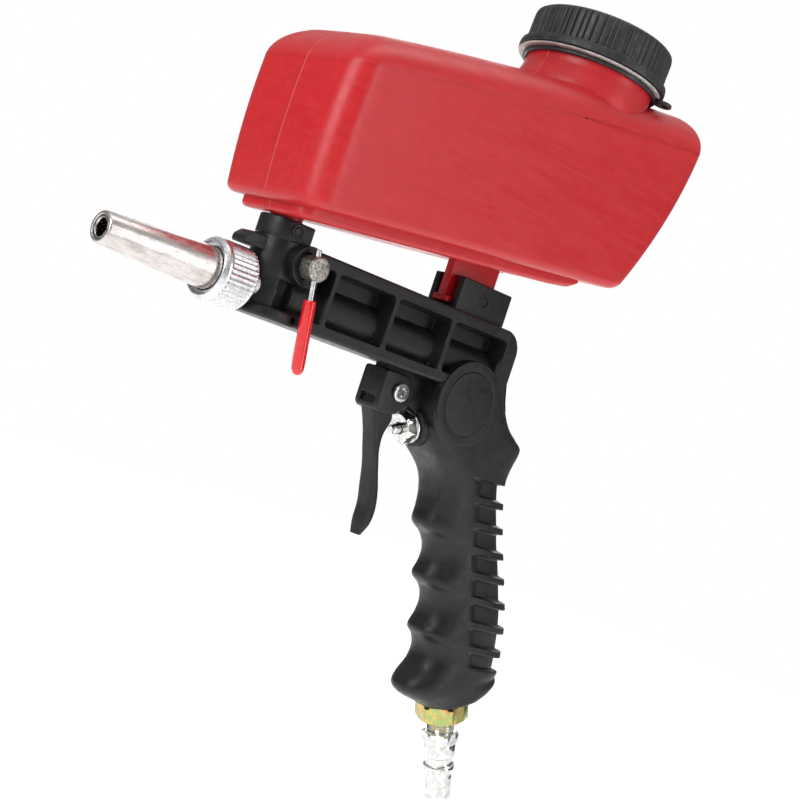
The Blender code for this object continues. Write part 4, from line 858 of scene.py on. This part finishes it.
PIVOT = (71.6, -19.1)
head = [(62.0, -11.9), (62.0, -27.3), (64.0, -29.0), (72.2, -28.6), (75.6, -26.0), (77.9, -23.4)]
head += [(78.8, -19.4), (78.2, -15.8), (76.0, -12.9), (73.2, -11.9)]
back_line = [(72.2, -24.6), (75.9, -30.2), (75.2, -33.4), (74.1, -36.2), (74.1, -42.0), (77.0, -50.6)]
back_line += [(81.2, -60.4), (82.7, -66.8), (81.9, -73.4), (80.1, -77.6)]
front_line = [(78.4, -77.9), (78.0, -72.0), (77.7, -65.5), (76.0, -58.6), (73.7, -50.0), (70.9, -43.4)]
front_line += [(67.9, -36.6), (64.4, -30.4), (62.6, -27.4), (64.0, -22.0)]


def trigger_lever():
    """The finger lever: its front and back lines carried across, narrower to the tip and dished in front."""
    t = np.linspace(0, 1, 90)
    back_down, front_down = t * 53 + 24.6, t * 55.9 + 22.0
    back_x = curve([(-z, x) for x, z in back_line], back_down)
    front_x = curve([(-z, x) for x, z in front_line[::-1]], front_down)
    back_z, front_z = -back_down, -front_down
    half = curve([(0, 4.6), (0.2, 4.1), (0.75, 4.0), (0.93, 3.6), (1, 2.6)], t)
    s = np.linspace(0, 2 * math.pi, 64, endpoint=False)[None]
    square = 5.0
    a = np.sign(np.cos(s)) * np.abs(np.cos(s)) ** (2 / square)
    b = np.sign(np.sin(s)) * np.abs(np.sin(s)) ** (2 / square)
    mid_x, mid_z = ((back_x + front_x) / 2)[:, None], ((back_z + front_z) / 2)[:, None]
    half_x, half_z = ((back_x - front_x) / 2)[:, None], ((back_z - front_z) / 2)[:, None]
    grid = np.stack([mid_x + half_x * a, half[:, None] * b, mid_z + half_z * a], -1)
    return shell(grid)


ears = [plate(soften(head, 1.4, True), low, high, 0.7, "y") for low, high in ((-6.7, -4.1), (4.1, 6.7))]
bridge_outline = [(62.0, -11.9), (62.0, -23.0), (63.4, -23.0), (63.4, -26.2), (62.0, -26.2), (62.4, -28.2)]
bridge_outline += [(64.2, -28.9), (64.6, -11.9)]
bridge = plate(soften(bridge_outline, 0.5, True), -5.2, 5.2, 0.5, "y")
trigger_shells = [*ears, bridge, trigger_lever()]
piece("trigger_lever", trigger_shells, black_nylon, "trigger", ["trigger"], 45.0)


def pin_head(face, inward):
    """A low round head with a hexagonal socket. Inward is +1 on the near side and -1 on the far side."""
    t = np.linspace(0, 2 * math.pi, 72, endpoint=False)
    hexagon = hexagon_radius(t, 3.5)
    radii = [2.0, 3.8, 3.8, 3.5, 2.6, hexagon * 1.06, hexagon, hexagon * 0.98]
    places = [face + inward * deep for deep in (1.6, 1.6, 0.45, 0.1, 0.0, 0.0, 0.15, 1.2)]
    return rings_across(PIVOT, t, radii, places)


pin = lathe([(-7.6, 2.0), (8.0, 2.0)], "y", (PIVOT[0], 0, PIVOT[1]), 48)
piece("pivot_pin", [pin_head(-8.6, 1), pin], chrome, "gun", ["pivot_screw"])
piece("pivot_far_nut", [pin_head(8.6, -1)], chrome, "gun", ["pivot_nut"])


# Air valve ----------------------------------------------------------------------------------------
# A chrome gland nut screwed into the boss under the barrel, with the steel stem that the trigger pushes
# standing out of it. The brass seat, the seals and the spring are inside.


def hexagon_nut(flats, low, high, bore, spin=0.0, axis="x", local=None, chamfer=0.75, centre=(0, 0, 0)):
    """A hexagon whose corners are cut by a cone at both ends, as a nut's are, with a round hole."""
    t = np.linspace(0, 2 * math.pi, 96, endpoint=False)
    limit = flats / 2 * np.array([0.97, 1.04, 1.16, 1.16, 1.04, 0.97])
    cut = np.minimum(hexagon_radius(t + spin, flats), limit[:, None])
    hole = np.full((1, 96), bore)
    radius = np.concatenate([hole, cut, hole])
    place = [low, low, low + chamfer * 0.3, low + chamfer, high - chamfer, high - chamfer * 0.3, high, high]
    along = np.broadcast_to(np.array(place)[:, None], radius.shape)
    a, b = radius * np.cos(t), radius * np.sin(t)
    grid = np.stack((along, a, b) if axis == "x" else (a, b, along), -1) + np.asarray(centre, float)
    return shell(local(grid) if local else grid, True)


valve_at = (0, 0, -22.4)
flange = soften([(-27.6, 3.0), (-27.6, 6.6), (-26.75, 6.8), (-26.7, 3.0)], 0.2, True)
thread = [(-26.8, 2.6), (-26.8, 5.25), (-21.8, 5.25), (-21.8, 2.6)]
gland = [
    hexagon_nut(12.0, -32.3, -27.3, 2.6, math.radians(12), "x", raked, centre=valve_at),
    lathe(flange, "x", valve_at, 72, closed=True, local=raked),
    lathe(thread, "x", valve_at, 48, closed=True, local=raked),
]
piece("gland", gland, chrome, "gun", ["gland_nut"], 28.0)
stem_line = [(-36.6, 0.2), (-36.6, 1.5), (-36.2, 2.05), (-35.6, 2.2), (-10.9, 2.2), (-10.7, 1.2)]
stem_line += [(-5.9, 1.2), (-5.9, 0.2)]
stem = lathe(soften(stem_line, 0.2), "x", valve_at, 48, local=raked)
piece("valve_stem", [stem], chrome, "plunger", ["plunger"])

brass = finish("machined brass", two_tone(1.4, "#c9a14f", "#9a7631"), 0.3, 1.0)
for name in ("air_jet", "valve_seat"):
    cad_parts[name].material_slots[0].material = brass
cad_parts["thread_bush"].material_slots[0].material = bright_steel


# Air inlet ----------------------------------------------------------------------------------------
# A hexagon bush in yellow zinc, screwed up into the butt on a seal, and a chrome quick plug in it:
# threads, its own hexagon, a collar, a waist, a locking ring and a long nose.

INLET = -147.2


def zinc_colour(tree):
    """Yellow passivation that shifts to green and to rose in soft clouds."""
    cloud = noise(tree, surface_place(tree), 4.5, 2.0)
    drift = noise(tree, surface_place(tree), 2.6, 3.0)
    base = between(tree, spread(tree, cloud, 0, 1, 0.4, 0.6), "#c9b36a", "#9fae6c")
    return between(tree, spread(tree, drift, 0, 0.75, 0.5, 0.68), base, "#c98f62")


yellow_zinc = finish("yellow passivated zinc", zinc_colour, clouds(1.5, 0.2, 0.36), 1.0, plated_grain)
shank = [(INLET - 1, 6.55), (INLET - 1, 8.0), (-136, 8.0), (-136, 6.55)]
bush = [
    hexagon_nut(20.0, INLET - 7.9, INLET + 0.1, 6.55, math.radians(20), "z", raked, 1.1),
    lathe(shank, "z", steps=48, closed=True, local=raked),
]
piece("inlet_hexagon", bush, yellow_zinc, "gun", ["inlet_bush"], 28.0)

PLUG = INLET - 7.9
threads = []
for k in range(6):
    threads += [(PLUG + 0.6 - k * 1.1, 6.1), (PLUG + 0.05 - k * 1.1, 5.45)]
plug_line = [(PLUG + 11, 3.8), (PLUG + 11, 5.6), (PLUG + 10.4, 6.1), *threads, (PLUG - 6.2, 5.5)]
plug_line += [(PLUG - 10.9, 5.5), (PLUG - 10.9, 6.9), (PLUG - 17.0, 6.9), (PLUG - 17.3, 6.2)]
plug_line += [(PLUG - 19.6, 5.7), (PLUG - 21.0, 5.9), (PLUG - 21.4, 6.7), (PLUG - 23.3, 6.8)]
plug_line += [(PLUG - 24.0, 6.2), (PLUG - 25.2, 5.75), (PLUG - 27, 5.9), (PLUG - 36.3, 5.85)]
plug_line += [(PLUG - 37.2, 5.2), (PLUG - 37.2, 4.2), (PLUG - 36.6, 3.8)]
plug = [
    lathe(soften(plug_line, 0.3, True, 2), "z", steps=96, closed=True, local=raked),
    hexagon_nut(14.0, PLUG - 11.2, PLUG - 5.8, 5.0, math.radians(20), "z", raked, 0.9),
]
piece("plug", plug, chrome, "gun", ["quick_plug"], 30.0)


# Studio -------------------------------------------------------------------------------------------
# A plain white floor well below, a sky that is plain white to the camera and brighter above for the
# light, and four soft panels: in front on the nozzle's side, above, on the near side and behind.


def matte_white(tree):
    """White with a very slow drift."""
    return between(tree, noise(tree, surface_place(tree), 900.0), "#f4f4f4", "#ffffff")


white = (1.0, 1.0, 1.0, 1.0)
studio_white = finish("studio white", matte_white, 0.9, Emission_Strength=0.62, Emission_Color=white)
floor_mesh = bpy.data.meshes.new("studio_floor")
corners = [(-6, -6, -0.45), (6, -6, -0.45), (6, 6, -0.45), (-6, 6, -0.45)]
floor_mesh.from_pydata(corners, [], [(0, 1, 2, 3)])
floor_mesh.materials.append(studio_white)
floor = bpy.data.objects.new("studio_floor", floor_mesh)
bpy.context.scene.collection.objects.link(floor)

world = bpy.data.worlds.new("studio_sky")
world.use_nodes = True
sky = world.node_tree
height = add(sky, "SeparateXYZ", {"Vector": add(sky, "TexCoord").outputs["Generated"]}).outputs["Z"]
glow = spread(sky, height, 0.1, 0.62, -0.1, 0.8)
seen = add(sky, "LightPath").outputs["Is Camera Ray"]
level = add(sky, "Mix", {0: seen, 2: glow, 3: 1.0}, data_type="FLOAT").outputs[0]
sky.links.new(level, sky.nodes["Background"].inputs["Strength"])
sky.nodes["Background"].inputs["Color"].default_value = white
bpy.context.scene.world = world


def view_basis():
    """The camera's right, up and back directions: on the nozzle's side, a little low, and tilted."""
    azimuth, elevation, roll = math.radians(-43.98), math.radians(-1.1), math.radians(18.32)
    level = math.cos(elevation)
    back = np.array([math.sin(azimuth) * level, -math.cos(azimuth) * level, math.sin(elevation)])
    right = np.array([math.cos(azimuth), math.sin(azimuth), 0.0])
    up = np.cross(back, right)
    c, s = math.cos(roll), math.sin(roll)
    return np.stack([c * right + s * up, -s * right + c * up, back], 1)


basis = view_basis()
camera_data = bpy.data.cameras.new("camera")
camera_data.lens = 81.0
camera_data.sensor_width = 36.0
camera_data.clip_start = 0.05
camera = bpy.data.objects.new("camera", camera_data)
bpy.context.scene.collection.objects.link(camera)
place = (basis @ np.array([47.282, -39.697, 663.028]) - HOLD) / 1000
camera.matrix_world = Matrix.Translation(place.tolist()) @ Matrix(basis.tolist()).to_4x4()
bpy.context.scene.camera = camera
bpy.context.scene.view_settings.view_transform = "Standard"


def softbox(name, at, aim, size, power):
    """A square panel of light that faces a point."""
    data = bpy.data.lights.new(name, "AREA")
    data.shape = "RECTANGLE"
    data.size, data.size_y = size
    data.energy = power
    light = bpy.data.objects.new(name, data)
    bpy.context.scene.collection.objects.link(light)
    toward = (Matrix.Translation(aim).translation - Matrix.Translation(at).translation).normalized()
    light.matrix_world = Matrix.Translation(at) @ toward.to_track_quat("-Z", "Y").to_matrix().to_4x4()


softbox("key_panel", (-1.0, -0.2, 0.45), (-0.05, 0, 0.12), (0.5, 0.7), 5.5)
softbox("top_panel", (0.0, -0.1, 1.1), (0.0, 0, 0.1), (1.0, 0.5), 3.0)
softbox("side_panel", (0.35, -1.0, 0.25), (0.0, 0, 0.05), (0.35, 0.9), 3.0)
softbox("back_panel", (0.7, 0.8, 0.4), (0.0, 0, 0.05), (0.5, 0.9), 3.0)
